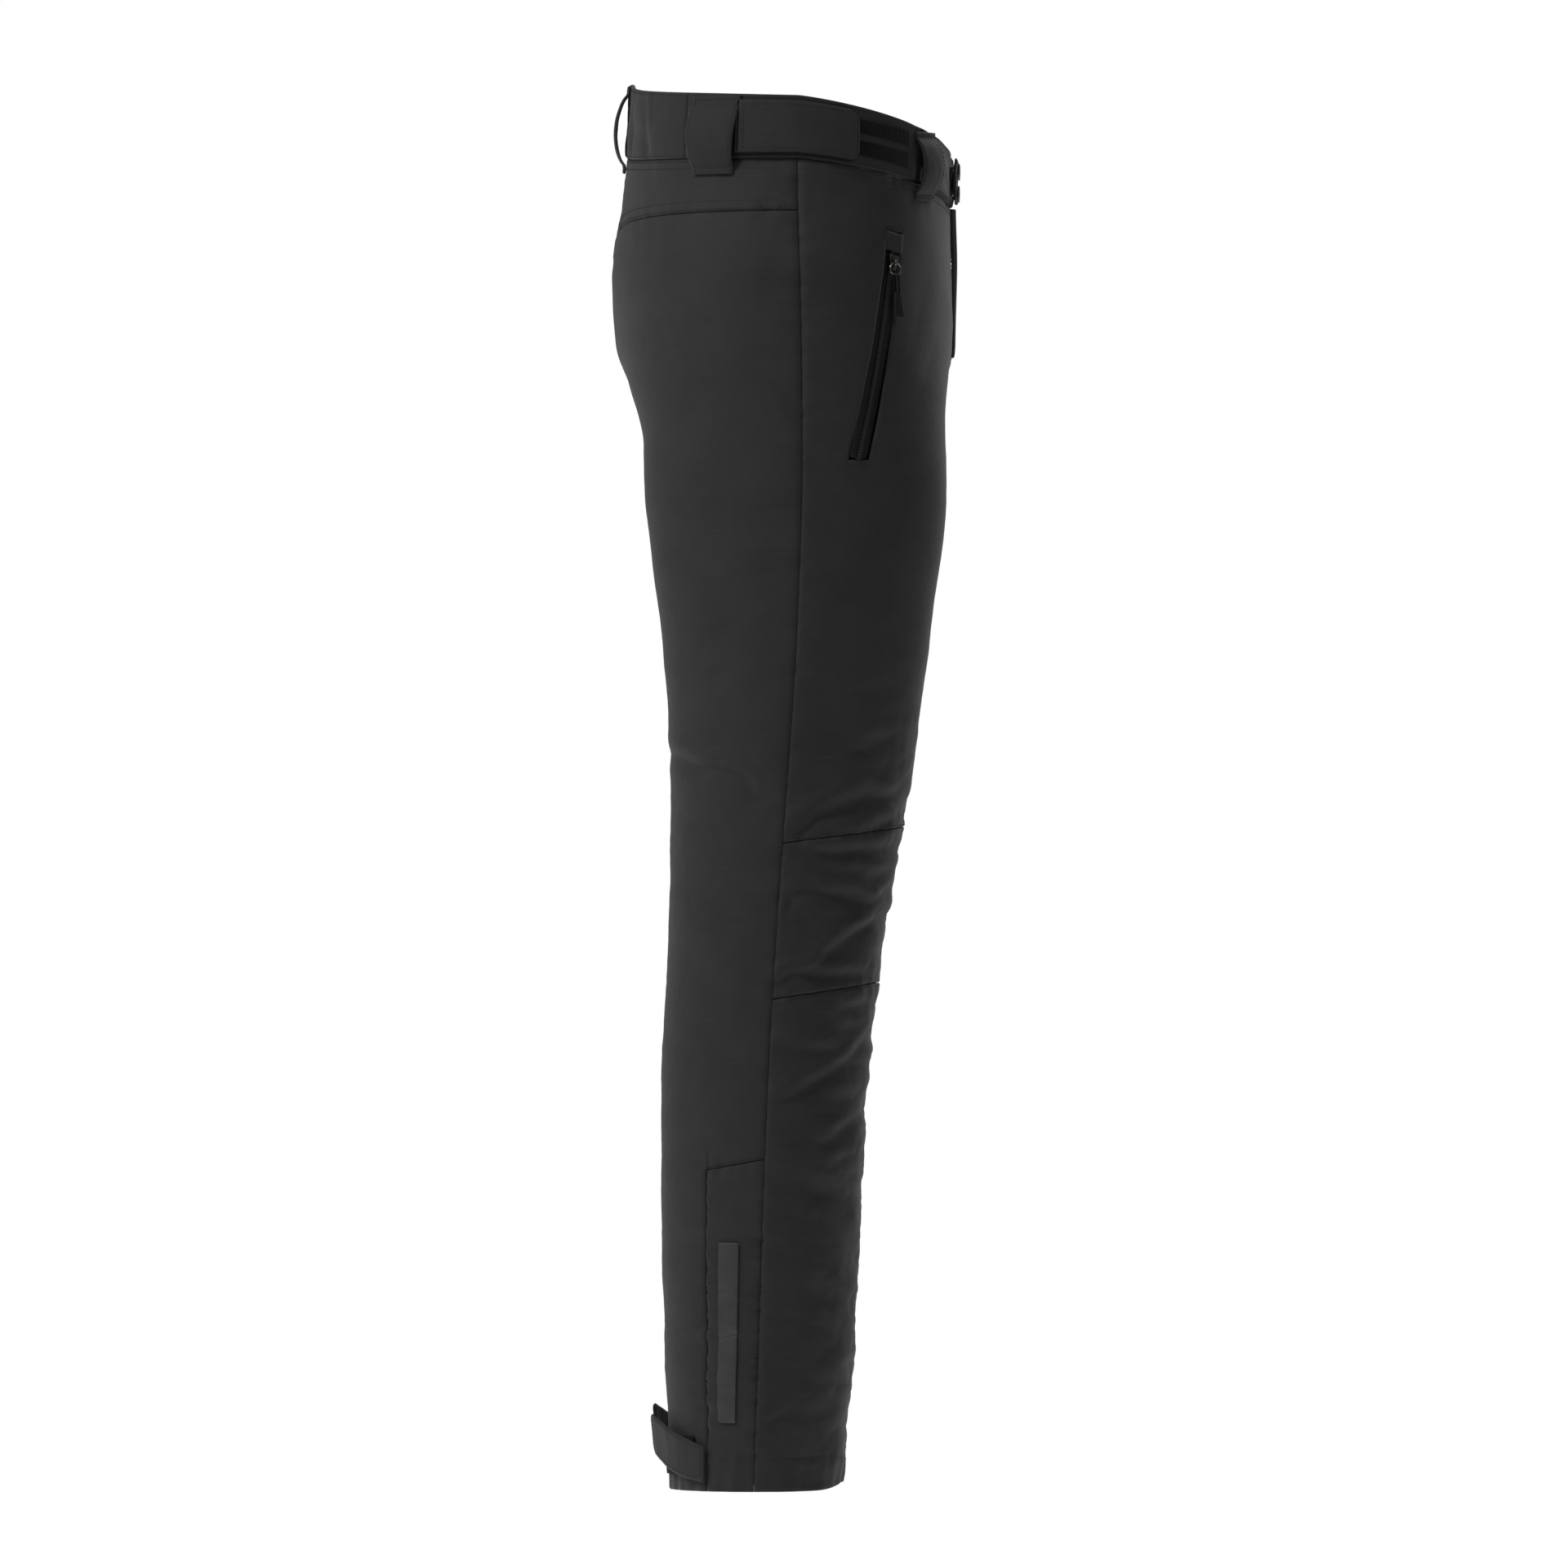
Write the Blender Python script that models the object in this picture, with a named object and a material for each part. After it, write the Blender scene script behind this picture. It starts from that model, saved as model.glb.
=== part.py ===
"""Insulated ski pants: shell panels, waistband, zips, tabs and inner layers, as separate solids.

Run with: blender --background --python part.py

Lengths are in metres. Heights are measured up from the hem, and the root empty then lowers everything
so that the middle of the waist opening is the origin. +Z is up, the front of the pants faces -Y, and
the wearer's left is +X. A place on the garment is given by (t, z): z is the height, and t runs from 0
on the outer side seam to 1 on the inseam or centre front, and to -1 on the inseam or centre back.
"""

from math import atan2, ceil, cos, degrees, pi, radians, sin, sqrt

import bmesh
import bpy
from mathutils import Matrix, Vector

NAME = "ski_pants"
LEFT = 1
RIGHT = -1
SIDES = (("left", LEFT), ("right", RIGHT))

# ---- Driving dimensions: heights above the hem ------------------------------------------------------
OUTSEAM = 1.080             # hem to the top edge at the centre back
WAIST_HEIGHT = 1.050        # middle of the waist opening, which is the origin
CROTCH = 0.795              # hem to the crotch
GUSSET_TOP = 0.2535         # top of the lower leg gusset, at the side seam
KNEE_BOTTOM = 0.3756        # lower knee panel seam, at the side seam
KNEE_TOP = 0.4945           # upper knee panel seam, at the side seam
YOKE_SIDE = 0.977           # back yoke seam, at the side seam
YOKE_DROP = 0.016           # how much lower the yoke seam is at the centre back
BAND_SEAM_BACK = 1.0235     # waistband seam at the centre back
BAND_SEAM_SIDE = 1.017
BAND_SEAM_FRONT = 0.984
BAND_TOP_SIDE = 1.0655      # waistband top edge at the side and the centre front
BAND_TOP_FRONT = 1.022

# ---- Driving dimensions: girth, one row per height --------------------------------------------------
# height, side seam forward of the middle, depth behind the seam, depth before it, half width of a leg,
# and distance of the leg's middle line from the centre
LEG_ROWS = (
    (0.000, -0.023, 0.064, 0.069, 0.074, 0.118),
    (0.100, -0.020, 0.071, 0.074, 0.076, 0.117),
    (0.300, -0.013, 0.081, 0.076, 0.081, 0.113),
    (0.440, -0.005, 0.083, 0.085, 0.085, 0.110),
    (0.550, 0.003, 0.090, 0.096, 0.090, 0.107),
    (0.660, 0.010, 0.1045, 0.103, 0.094, 0.103),
    (0.795, 0.0138, 0.128, 0.1165, 0.097, 0.0995),
    (0.850, 0.0135, 0.136, 0.119, 0.097, 0.0995),
    (1.080, 0.0100, 0.128, 0.115, 0.097, 0.0995),
)
# height, side seam forward of the middle, depth behind the seam, depth before it, half width, and
# the power that squares the outline off, where 1 is an ellipse
BODY_ROWS = (
    (0.000, 0.0138, 0.124, 0.112, 0.1965, 0.84),
    (0.795, 0.0138, 0.124, 0.112, 0.1965, 0.84),
    (0.850, 0.0135, 0.1400, 0.1170, 0.1975, 0.88),
    (0.930, 0.0120, 0.1450, 0.1175, 0.1980, 0.92),
    (1.000, 0.0100, 0.1330, 0.1180, 0.1820, 0.94),
    (1.080, 0.0100, 0.1280, 0.1210, 0.1720, 0.95),
)
CROTCH_RISE = 0.085         # height over which the centre seam curves up from the crotch
MERGE_BELOW = 0.100         # the outside of the legs starts to merge this far below the crotch
MERGE_ABOVE = 0.110         # and is one body this far above it

# ---- Driving dimensions: cloth layers, as distances out from the shell's outer face -----------------
SEAM_GAP = 0.0004           # gap left between two pieces sewn edge to edge
SHELL_THICK = 0.0020
BAND_OUT = 0.0010           # the waistband stands this far proud of the shell
BAND_ROW_STEP = 0.030       # the most between two rows of the waistband's grid
BAND_THICK = 0.0035
LINING_DEEP = 0.0110        # outer face of the padded lining, inside the shell
LINING_THICK = 0.0025
BAG_DEEP = 0.0072           # outer face of the pocket bag
BAG_THICK = 0.0020
GAITER_TOP = 0.205
GAITER_BOTTOM = 0.045
GAITER_DEEP_TOP = 0.0165
GAITER_DEEP_BOTTOM = 0.0230
GAITER_THICK = 0.0018
LINING_BOTTOM = 0.200

# ---- Driving dimensions: trim -----------------------------------------------------------------------
GUSSET_ANGLE = 34.0         # degrees round the leg from the side seam
STRIP_ANGLES = (13.0, 25.0)
STRIP_HEIGHTS = (0.0526, 0.190)
STRIP_OUT = 0.0007
TRIM_THICK = 0.0007
HEM_TAB_WIDTH = 0.027
HEM_TAB_LOW = 0.007
HEM_TAB_RISE = 0.021        # how much higher the free end of the hem tab is
HEM_TAB_END_ANGLE = 92.0
HEM_TAB_OUT = 0.0022
HEM_TAB_END_OUT = 0.0105    # the free end stands this far off the leg
HEM_TAB_THICK = 0.0020
HEM_PATCH_ANGLES = (44.0, 84.0)
HEM_PATCH_HEIGHTS = (0.012, 0.042)

BAND_BACK_ANGLE = 39.0      # the gathered back of the waistband ends this far behind the side seam
LOOP_REAR_ANGLE = 27.5
LOOP_REAR_WIDTH = 0.037
LOOP_FRONT_ANGLE = 53.6
LOOP_FRONT_WIDTH = 0.034
LOOP_BACK_WIDTH = 0.040
LOOP_GAP = 0.0085           # room for a belt between the waistband and a belt loop
LOOP_THICK = 0.0016
LOOP_DROP = 0.012           # a belt loop is sewn down this far below the waistband seam
WAIST_TAB_ANGLES = (-18.0, 21.0)
WAIST_TAB_BASE_ANGLE = -19.2
WAIST_TAB_INSET = 0.0045    # from the waistband's edges to the tab's
WAIST_TAB_OUT = 0.0036
WAIST_TAB_THICK = 0.0022
LOOP_TAPE_ANGLES = (-8.0, 44.0)
LOOP_TAPE_WIDTH = 0.011
LOOP_TAPE_SPACING = 0.017
LOOP_TAPE_OUT = 0.0014

CLOSURE_HINGE_X = 0.020     # the front closure tab is sewn down on the left of the centre
CLOSURE_END_X = -0.036
CLOSURE_OUT = 0.0044
CLOSURE_THICK = 0.0020
CLOSURE_INSET = 0.003
SNAP_X = -0.022
SNAP_SPACING = 0.017
SNAP_CAP_RADIUS = 0.0065
SNAP_SHANK_RADIUS = 0.0027
SNAP_POST_RADIUS = 0.0016
SNAP_CLEARANCE = 0.0005

FLY_TOP = 0.979
FLY_BOTTOM = 0.866
FLY_HALF_OPENING = 0.009
FLY_TAPE_WIDTH = 0.026
FLY_SHIELD_WIDTH = 0.050
FLY_SHIELD_THICK = 0.0015

POCKET_POINTS = ((0.0832, 0.9440), (0.0725, 0.8620), (0.0585, 0.7900))
POCKET_OPENING_WIDTH = 0.0170
POCKET_GARAGE = 0.0170      # length of the opening above the zip's top stop
POCKET_TAPE_GAP = 0.0004    # gap between the zip tape and the edges of the opening
POCKET_TAPE_DEEP = 0.0030   # back of the zip tape, in from the shell's outer face
POCKET_BAG = (0.06, 0.46, 0.730, 0.966)     # t range and height range of the pocket bag

# ---- Zip hardware -----------------------------------------------------------------------------------
TAPE_THICK = 0.0007
COIL_WIDTH = 0.0050
COIL_HIGH = 0.0016
SLIDER_CLEARANCE = 0.0003
SLIDER_WIDTH = 0.0085
SLIDER_LENGTH = 0.0120
SLIDER_HIGH = 0.0029
BRIDGE_RADIUS = 0.0023
WIRE_RADIUS = 0.0007
PIN_LIFT = 0.0005           # how far above the middle of the bridge's eye the ring's wire rides
RING_RADIUS = 0.0050
PULL_WIDTH = 0.0090
PULL_LENGTH = 0.0170
PULL_CORD = 0.0150
PULL_THICK = 0.0022

# ---- Finishes: name, sRGB colour, roughness, metallic -----------------------------------------------
SHELL = ("shell_fabric", (0.20, 0.20, 0.20), 0.85, 0.0)
BAND = ("waistband_fabric", (0.18, 0.18, 0.18), 0.85, 0.0)
LINING = ("quilted_lining", (0.10, 0.10, 0.11), 0.9, 0.0)
GAITER = ("gaiter_fabric", (0.08, 0.08, 0.08), 0.9, 0.0)
TAPE = ("zip_tape", (0.04, 0.04, 0.04), 0.8, 0.0)
HOOK = ("hook_and_loop", (0.06, 0.06, 0.06), 0.95, 0.0)
STEEL = ("plated_steel", (0.75, 0.75, 0.76), 0.3, 1.0)
RUBBER = ("moulded_rubber", (0.10, 0.10, 0.10), 0.6, 0.0)
REFLECTIVE = ("reflective_tape", (0.25, 0.25, 0.25), 0.4, 0.0)


# ---- The garment's form -----------------------------------------------------------------------------
def smooth_row(rows, z):
    """The values at height z on a smooth curve through the rows."""
    heights = [row[0] for row in rows]
    z = min(max(z, heights[0]), heights[-1])
    k = max(i for i in range(len(rows) - 1) if heights[i] <= z)
    h = heights[k + 1] - heights[k]
    u = (z - heights[k]) / h

    def slope(i, column):
        if i == 0 or i == len(rows) - 1:
            return 0.0
        before = (rows[i][column] - rows[i - 1][column]) / (heights[i] - heights[i - 1])
        after = (rows[i + 1][column] - rows[i][column]) / (heights[i + 1] - heights[i])
        return 0.0 if before * after <= 0 else 2 * before * after / (before + after)

    values = []
    for column in range(1, len(rows[0])):
        a, b = rows[k][column], rows[k + 1][column]
        m, n = slope(k, column) * h, slope(k + 1, column) * h
        values.append(
            (2 * u**3 - 3 * u**2 + 1) * a + (u**3 - 2 * u**2 + u) * m
            + (3 * u**2 - 2 * u**3) * b + (u**3 - u**2) * n
        )
    return values


def eased(low, high, value):
    """0 below low, 1 above high, and a smooth step between."""
    u = min(max((value - low) / (high - low), 0.0), 1.0)
    return u * u * (3 - 2 * u)


def body_share(t, z):
    """How far the outline is one body and not two legs, from 0 to 1.

    The centre seam rises from the crotch in a quarter circle, and the outside merges gently.
    """
    u = min(max((z - CROTCH) / CROTCH_RISE, 0.0), 1.0)
    centre = sqrt(1 - (1 - u) ** 2)
    outside = eased(CROTCH - MERGE_BELOW, CROTCH + MERGE_ABOVE, z)
    return outside + (centre - outside) * eased(0.45, 1.0, abs(t))


def body_turn(t):
    """The angle round the body, in radians, at fraction t: quicker near the side seam."""
    return pi / 2 * (t + 0.6 * sin(pi * t) / pi)


def form_point(side, t, z):
    """The point of the shell's outer face at fraction t and height z."""
    seam, behind, before, half_width, middle = smooth_row(LEG_ROWS, z)
    depth = before if t >= 0 else behind
    leg_x = middle + half_width * cos(pi * t)
    leg_f = seam + depth * sin(pi * t)
    seam, behind, before, half_width, power = smooth_row(BODY_ROWS, z)
    turn = body_turn(t)
    body_x = half_width * max(cos(turn), 0.0) ** power
    body_f = seam + (before * sin(turn) ** power if t >= 0 else -behind * sin(-turn) ** power)
    share = body_share(t, z)
    x = (1 - share) * leg_x + share * body_x
    f = (1 - share) * leg_f + share * body_f
    return Vector((side * x, -f, z))


def form_normal(side, t, z):
    """The horizontal direction that points out of the shell there."""
    step = 0.002
    along = form_point(side, min(t + step, 1.0), z) - form_point(side, max(t - step, -1.0), z)
    normal = Vector((-along.y, along.x, 0.0)) * side
    return normal.normalized()


def on_form(side, t, z, out=0.0):
    """The point at (t, z), moved out of the shell by a distance."""
    return form_point(side, t, z) + form_normal(side, t, z) * out


def fraction_at(side, f, z):
    """The t between side seam and centre front where the shell is f forward of the middle."""
    low, high = 0.0, 0.5 if z < CROTCH else 1.0
    for _ in range(40):
        mid = (low + high) / 2
        low, high = (mid, high) if -form_point(side, mid, z).y < f else (low, mid)
    return (low + high) / 2


def leg_angle(angle):
    """The fraction t of an angle in degrees round a leg, counted from the side seam."""
    return angle / 180.0


def body_angle(angle):
    """The fraction t of an angle in degrees round the body, counted from the side seam."""
    low, high = -1.0, 1.0
    for _ in range(40):
        mid = (low + high) / 2
        low, high = (mid, high) if degrees(body_turn(mid)) < angle else (low, mid)
    return (low + high) / 2


# Half the gap between two sewn edges, as a fraction t at the hem, where the leg is narrowest
HEM_HALF_ROUND = pi * (LEG_ROWS[0][4] + (LEG_ROWS[0][2] + LEG_ROWS[0][3]) / 2) / 2
SEAM_T = SEAM_GAP / 2 / HEM_HALF_ROUND
SEAM_Z = SEAM_GAP / 2


def spaced(low, high, count):
    """count + 1 evenly spaced values from low to high."""
    return [low + (high - low) * i / count for i in range(count + 1)]


GUSSET_T = leg_angle(GUSSET_ANGLE)
COLUMNS = [0.0, GUSSET_T / 2, GUSSET_T] + spaced(GUSSET_T, 1.0, 9)[1:]


def columns_between(low, high):
    """The two ends, and every shell column between them, so that neighbours bend alike."""
    both = [-t for t in reversed(COLUMNS[1:])] + COLUMNS
    margin = 0.012
    return [low] + [t for t in both if low + margin < t < high - margin] + [high]


def band_line(t, back, side, front):
    """A height that runs smoothly round the waist from the centre back to the centre front."""
    if t <= 0:
        return side + (back - side) * t * t
    return side + (front - side) * sin(pi * t / 2) ** 1.15


def band_seam(t):
    return band_line(t, BAND_SEAM_BACK, BAND_SEAM_SIDE, BAND_SEAM_FRONT)


def band_top(t):
    return band_line(t, OUTSEAM, BAND_TOP_SIDE, BAND_TOP_FRONT)


def yoke_seam(t):
    return YOKE_SIDE - YOKE_DROP * t * t


def knee_top(t):
    return KNEE_TOP + 0.012 * sin(pi * t)


def knee_bottom(t):
    return KNEE_BOTTOM + 0.012 * sin(pi * t)


def level(z):
    """A line round the garment that stays at one height."""
    return lambda t: z


def below(line):
    return lambda t: line(t) - SEAM_Z


def above(line):
    return lambda t: line(t) + SEAM_Z


def yoke_row(z):
    """A line at height z that takes up the yoke seam's curve as it nears it."""
    share = min(max((z - CROTCH) / (YOKE_SIDE - CROTCH), 0.0), 1.0)
    return lambda t: z - (YOKE_DROP * t * t * share if t < 0 else 0.0)


def gusset_top(t):
    return GUSSET_TOP + 0.0085 * min(max(t, -GUSSET_T), 0.0) / GUSSET_T


LEG_LEVELS = spaced(0.0, GUSSET_TOP, 4)[:-1]
SHIN_LEVELS = spaced(GUSSET_TOP, KNEE_BOTTOM, 2)[1:-1]
KNEE_LEVELS = spaced(KNEE_BOTTOM, KNEE_TOP, 2)[1:-1]
THIGH_LEVELS = spaced(KNEE_TOP, CROTCH, 4)[1:]
RISE_LEVELS = [CROTCH + CROTCH_RISE * share for share in (0.06, 0.18, 0.38, 0.66, 1.0)]
HIP_LEVELS = spaced(CROTCH + CROTCH_RISE, YOKE_SIDE, 2)[1:-1]


# ---- Making meshes ----------------------------------------------------------------------------------
def new_object(name, mesh, finish, parent, where=None):
    """Link a mesh as a named part of the garment, with its own material."""
    obj = bpy.data.objects.new(name, mesh)
    parts_collection().objects.link(obj)
    obj.parent = parent
    if where is not None:
        obj.matrix_world = where
    mesh.materials.clear()
    mesh.materials.append(new_material(name, finish))
    return obj


def parts_collection():
    if NAME not in bpy.data.collections:
        bpy.context.scene.collection.children.link(bpy.data.collections.new(NAME))
    return bpy.data.collections[NAME]


def cutter_collection():
    if "cutters" not in bpy.data.collections:
        made = bpy.data.collections.new("cutters")
        made.hide_render = True
        bpy.context.scene.collection.children.link(made)
    return bpy.data.collections["cutters"]


def new_material(node, finish):
    name, colour, roughness, metallic = finish
    material = bpy.data.materials.new(f"{node}_{name}")
    material.use_nodes = True
    shader = material.node_tree.nodes["Principled BSDF"]
    linear = [c / 12.92 if c <= 0.04045 else ((c + 0.055) / 1.055) ** 2.4 for c in colour]
    shader.inputs["Base Color"].default_value = (*linear, 1.0)
    shader.inputs["Roughness"].default_value = roughness
    shader.inputs["Metallic"].default_value = metallic
    return material


def grid_slab(columns, rows, layers, place, keep=None):
    """A slab of cloth: a flat grid, two faces thick, whose corners are then placed one by one.

    columns are fractions t, rows are functions of t that give a height, and layers is the pair of
    distances of the outer and the inner face. place(t, z, layer) gives the point. keep(column, row)
    says which cells of the grid belong to the piece.
    """
    bm = bmesh.new()
    wide, tall = len(columns) - 1, len(rows) - 1
    bmesh.ops.create_grid(bm, x_segments=wide, y_segments=tall, size=0.5)
    corner = {}
    for vert in bm.verts:
        corner[vert] = (round((vert.co.x + 0.5) * wide), round((vert.co.y + 0.5) * tall))
    if keep is not None:
        cells = []
        for face in bm.faces:
            column = min(corner[vert][0] for vert in face.verts)
            row = min(corner[vert][1] for vert in face.verts)
            if not keep(column, row):
                cells.append(face)
        bmesh.ops.delete(bm, geom=cells, context="FACES")
    outer = [vert for vert in bm.verts]
    made = bmesh.ops.extrude_face_region(bm, geom=list(bm.faces), use_keep_orig=True)
    inner = [item for item in made["geom"] if isinstance(item, bmesh.types.BMVert)]
    for vert in inner:
        corner[vert] = (round((vert.co.x + 0.5) * wide), round((vert.co.y + 0.5) * tall))
    for verts, layer in ((outer, layers[0]), (inner, layers[1])):
        for vert in verts:
            column, row = corner[vert]
            t = columns[column]
            vert.co = place(t, rows[row](t), layer)
    bmesh.ops.recalc_face_normals(bm, faces=list(bm.faces))
    if bm.calc_volume(signed=True) < 0:
        bmesh.ops.reverse_faces(bm, faces=list(bm.faces))
    return bm


def mesh_of(bm, name, smooth=True):
    mesh = bpy.data.meshes.new(name)
    bm.to_mesh(mesh)
    bm.free()
    if smooth:
        mesh.shade_smooth()
        mesh.set_sharp_from_angle(angle=radians(40))
    return mesh


def cloth(name, side, columns, rows, layers, finish, parent, keep=None, place=None):
    """A piece of cloth on the garment's form."""
    bm = grid_slab(columns, rows, layers, place or (lambda t, z, out: on_form(side, t, z, out)), keep)
    return new_object(name, mesh_of(bm, name), finish, parent)


def cut(obj, cutter, name):
    """Take the cutter's shape out of a part."""
    cutter_collection().objects.link(cutter)
    cutter.hide_render = True
    cutter.display_type = "WIRE"
    modifier = obj.modifiers.new(name, "BOOLEAN")
    modifier.operation = "DIFFERENCE"
    modifier.solver = "EXACT"
    modifier.object = cutter


def join(obj, others):
    """Unite overlapping shapes into one solid, and drop the shapes that were added."""
    for other in others:
        modifier = obj.modifiers.new("union", "BOOLEAN")
        modifier.operation = "UNION"
        modifier.solver = "EXACT"
        modifier.object = other
    bpy.context.view_layer.update()
    graph = bpy.context.evaluated_depsgraph_get()
    mesh = bpy.data.meshes.new_from_object(obj.evaluated_get(graph))
    obj.modifiers.clear()
    obj.data = mesh
    for other in others:
        bpy.data.objects.remove(other)
    return obj


def frame_matrix(origin, across, out):
    """A frame with X across, Z along the zip or seam and -Y out of the cloth."""
    out = out.normalized()
    across = (across - out * across.dot(out)).normalized()
    back = -out
    up = across.cross(back)
    turn = Matrix((across, back, up)).transposed()
    return Matrix.Translation(origin) @ turn.to_4x4()


def rounded_box(name, size, centre, bevel, finish, parent):
    """A box with its edges rounded off."""
    bm = bmesh.new()
    bmesh.ops.create_cube(bm, size=1.0)
    bmesh.ops.scale(bm, vec=Vector(size), verts=bm.verts)
    bmesh.ops.translate(bm, vec=Vector(centre), verts=bm.verts)
    if bevel > 0:
        bmesh.ops.bevel(bm, geom=list(bm.edges), offset=bevel, segments=1, affect="EDGES")
    return new_object(name, mesh_of(bm, name), finish, parent)


def torus(name, major, minor, centre, axis, finish, parent, around=20, section=8):
    """A closed ring of round wire, turned about an axis through its centre."""
    bm = bmesh.new()
    made = bmesh.ops.create_circle(bm, cap_ends=False, segments=section, radius=minor)
    bmesh.ops.rotate(bm, verts=made["verts"], cent=(0, 0, 0), matrix=Matrix.Rotation(pi / 2, 3, "X"))
    bmesh.ops.translate(bm, verts=made["verts"], vec=(major, 0, 0))
    bmesh.ops.spin(
        bm, geom=list(bm.edges), cent=(0, 0, 0), axis=(0, 0, 1), angle=2 * pi, steps=around,
        use_merge=True, use_normal_flip=False,
    )
    turn = Vector((0, 0, 1)).rotation_difference(Vector(axis)).to_matrix()
    bmesh.ops.rotate(bm, verts=bm.verts, cent=(0, 0, 0), matrix=turn)
    bmesh.ops.translate(bm, verts=bm.verts, vec=Vector(centre))
    bmesh.ops.recalc_face_normals(bm, faces=list(bm.faces))
    if bm.calc_volume(signed=True) < 0:
        bmesh.ops.reverse_faces(bm, faces=list(bm.faces))
    return new_object(name, mesh_of(bm, name), finish, parent)


def turned(name, profile, finish, parent, steps=20):
    """A solid of revolution about Z: (radius, height) points up its outer side, closed on the axis."""
    bm = bmesh.new()
    verts = [bm.verts.new((radius, 0.0, height)) for radius, height in profile]
    edges = [bm.edges.new(pair) for pair in zip(verts, verts[1:])]
    bmesh.ops.spin(
        bm, geom=verts + edges, cent=(0, 0, 0), axis=(0, 0, 1), angle=2 * pi, steps=steps,
        use_merge=True,
    )
    bmesh.ops.remove_doubles(bm, verts=bm.verts, dist=1e-6)
    bmesh.ops.recalc_face_normals(bm, faces=list(bm.faces))
    if bm.calc_volume(signed=True) < 0:
        bmesh.ops.reverse_faces(bm, faces=list(bm.faces))
    return new_object(name, mesh_of(bm, name), finish, parent)


def empty(name, parent, where):
    """An empty that carries a moving piece, with its origin on the joint's axis."""
    made = bpy.data.objects.new(name, None)
    parts_collection().objects.link(made)
    made.parent = parent
    made.matrix_world = where
    bpy.context.view_layer.update()
    return made


# ---- Shell, lining and gaiters ----------------------------------------------------------------------
def leg_panels(label, side, root):
    """The shell panels of one leg: back, yoke, upper front, knee, shin and gusset."""
    front = [max(min(t, 1.0 - SEAM_T), SEAM_T) for t in COLUMNS]
    back = [-t for t in reversed(front)]
    gusset_edge = len(COLUMNS) - 1 - 2
    shell = (0.0, -SHELL_THICK)

    def back_column(index):
        """The gusset's edge gives way by the seam gap."""
        return back[index] - (SEAM_T if index == gusset_edge else 0.0)

    rows = [level(z) for z in LEG_LEVELS]
    first_above = len(rows)
    rows += [above(gusset_top)] + [level(z) for z in SHIN_LEVELS]
    rows += [level(KNEE_BOTTOM)] + [level(z) for z in KNEE_LEVELS] + [level(KNEE_TOP)]
    rows += [level(z) for z in THIGH_LEVELS]
    rows += [yoke_row(z) for z in RISE_LEVELS + HIP_LEVELS] + [below(yoke_seam)]
    columns = [back_column(i) for i in range(len(back))]
    cloth(f"back_panel_{label}", side, columns, rows, shell, SHELL, root,
          keep=lambda column, row: column < gusset_edge or row >= first_above)

    gusset = [-GUSSET_T + SEAM_T, -GUSSET_T / 2, -SEAM_T]
    rows = [level(z) for z in LEG_LEVELS] + [below(gusset_top)]
    cloth(f"gusset_panel_{label}", side, gusset, rows, shell, SHELL, root)

    rows = [above(yoke_seam), below(band_seam)]
    cloth(f"yoke_{label}", side, back, rows, shell, SHELL, root)

    rows = [level(z) for z in LEG_LEVELS + [GUSSET_TOP] + SHIN_LEVELS] + [below(knee_bottom)]
    cloth(f"shin_panel_{label}", side, front, rows, shell, SHELL, root)

    rows = [above(knee_bottom)] + [level(z) for z in KNEE_LEVELS] + [below(knee_top)]
    cloth(f"knee_panel_{label}", side, front, rows, shell, SHELL, root)

    rows = [above(knee_top)] + [level(z) for z in THIGH_LEVELS + RISE_LEVELS + HIP_LEVELS]
    rows += [lambda t: YOKE_SIDE - 0.5 * (BAND_SEAM_SIDE - band_seam(t)), below(band_seam)]
    panel = cloth(f"front_panel_{label}", side, front, rows, shell, SHELL, root)
    cut(panel, fly_cutter(label, side), "fly_opening")
    cut(panel, pocket_cutter(label, side), "pocket_opening")


def inner_layers(label, side, root):
    """The padded lining from waist to shin, the gaiter below it and the pocket bag."""
    half = [-t for t in reversed(COLUMNS[::2])] + COLUMNS[2::2]
    columns = [max(min(t, 1.0 - 2 * SEAM_T), 2 * SEAM_T - 1.0) for t in half]
    rows = [level(LINING_BOTTOM), level(KNEE_BOTTOM), level(KNEE_TOP)]
    rows += [level(z) for z in THIGH_LEVELS[1::2] + RISE_LEVELS + HIP_LEVELS]
    rows += [lambda t: band_seam(t) - 0.004]
    layers = (-LINING_DEEP, -LINING_DEEP - LINING_THICK)
    cloth(f"padded_lining_{label}", side, columns, rows, layers, LINING, root)

    def gaiter_place(t, z, layer):
        share = (z - GAITER_BOTTOM) / (GAITER_TOP - GAITER_BOTTOM)
        deep = GAITER_DEEP_BOTTOM + (GAITER_DEEP_TOP - GAITER_DEEP_BOTTOM) * share
        return on_form(side, t, z, layer - deep)

    rows = [level(z) for z in spaced(GAITER_BOTTOM, GAITER_TOP, 2)]
    cloth(f"snow_gaiter_{label}", side, columns, rows, (0.0, -GAITER_THICK), GAITER, root,
          place=gaiter_place)

    low_t, high_t, low_z, high_z = POCKET_BAG
    inside = [z for z in THIGH_LEVELS + RISE_LEVELS + HIP_LEVELS if low_z + 0.01 < z < high_z - 0.01]
    rows = [level(z) for z in [low_z] + inside + [high_z]]
    layers = (-BAG_DEEP, -BAG_DEEP - BAG_THICK)
    cloth(f"pocket_bag_{label}", side, columns_between(low_t, high_t), rows, layers, LINING, root)


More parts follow.
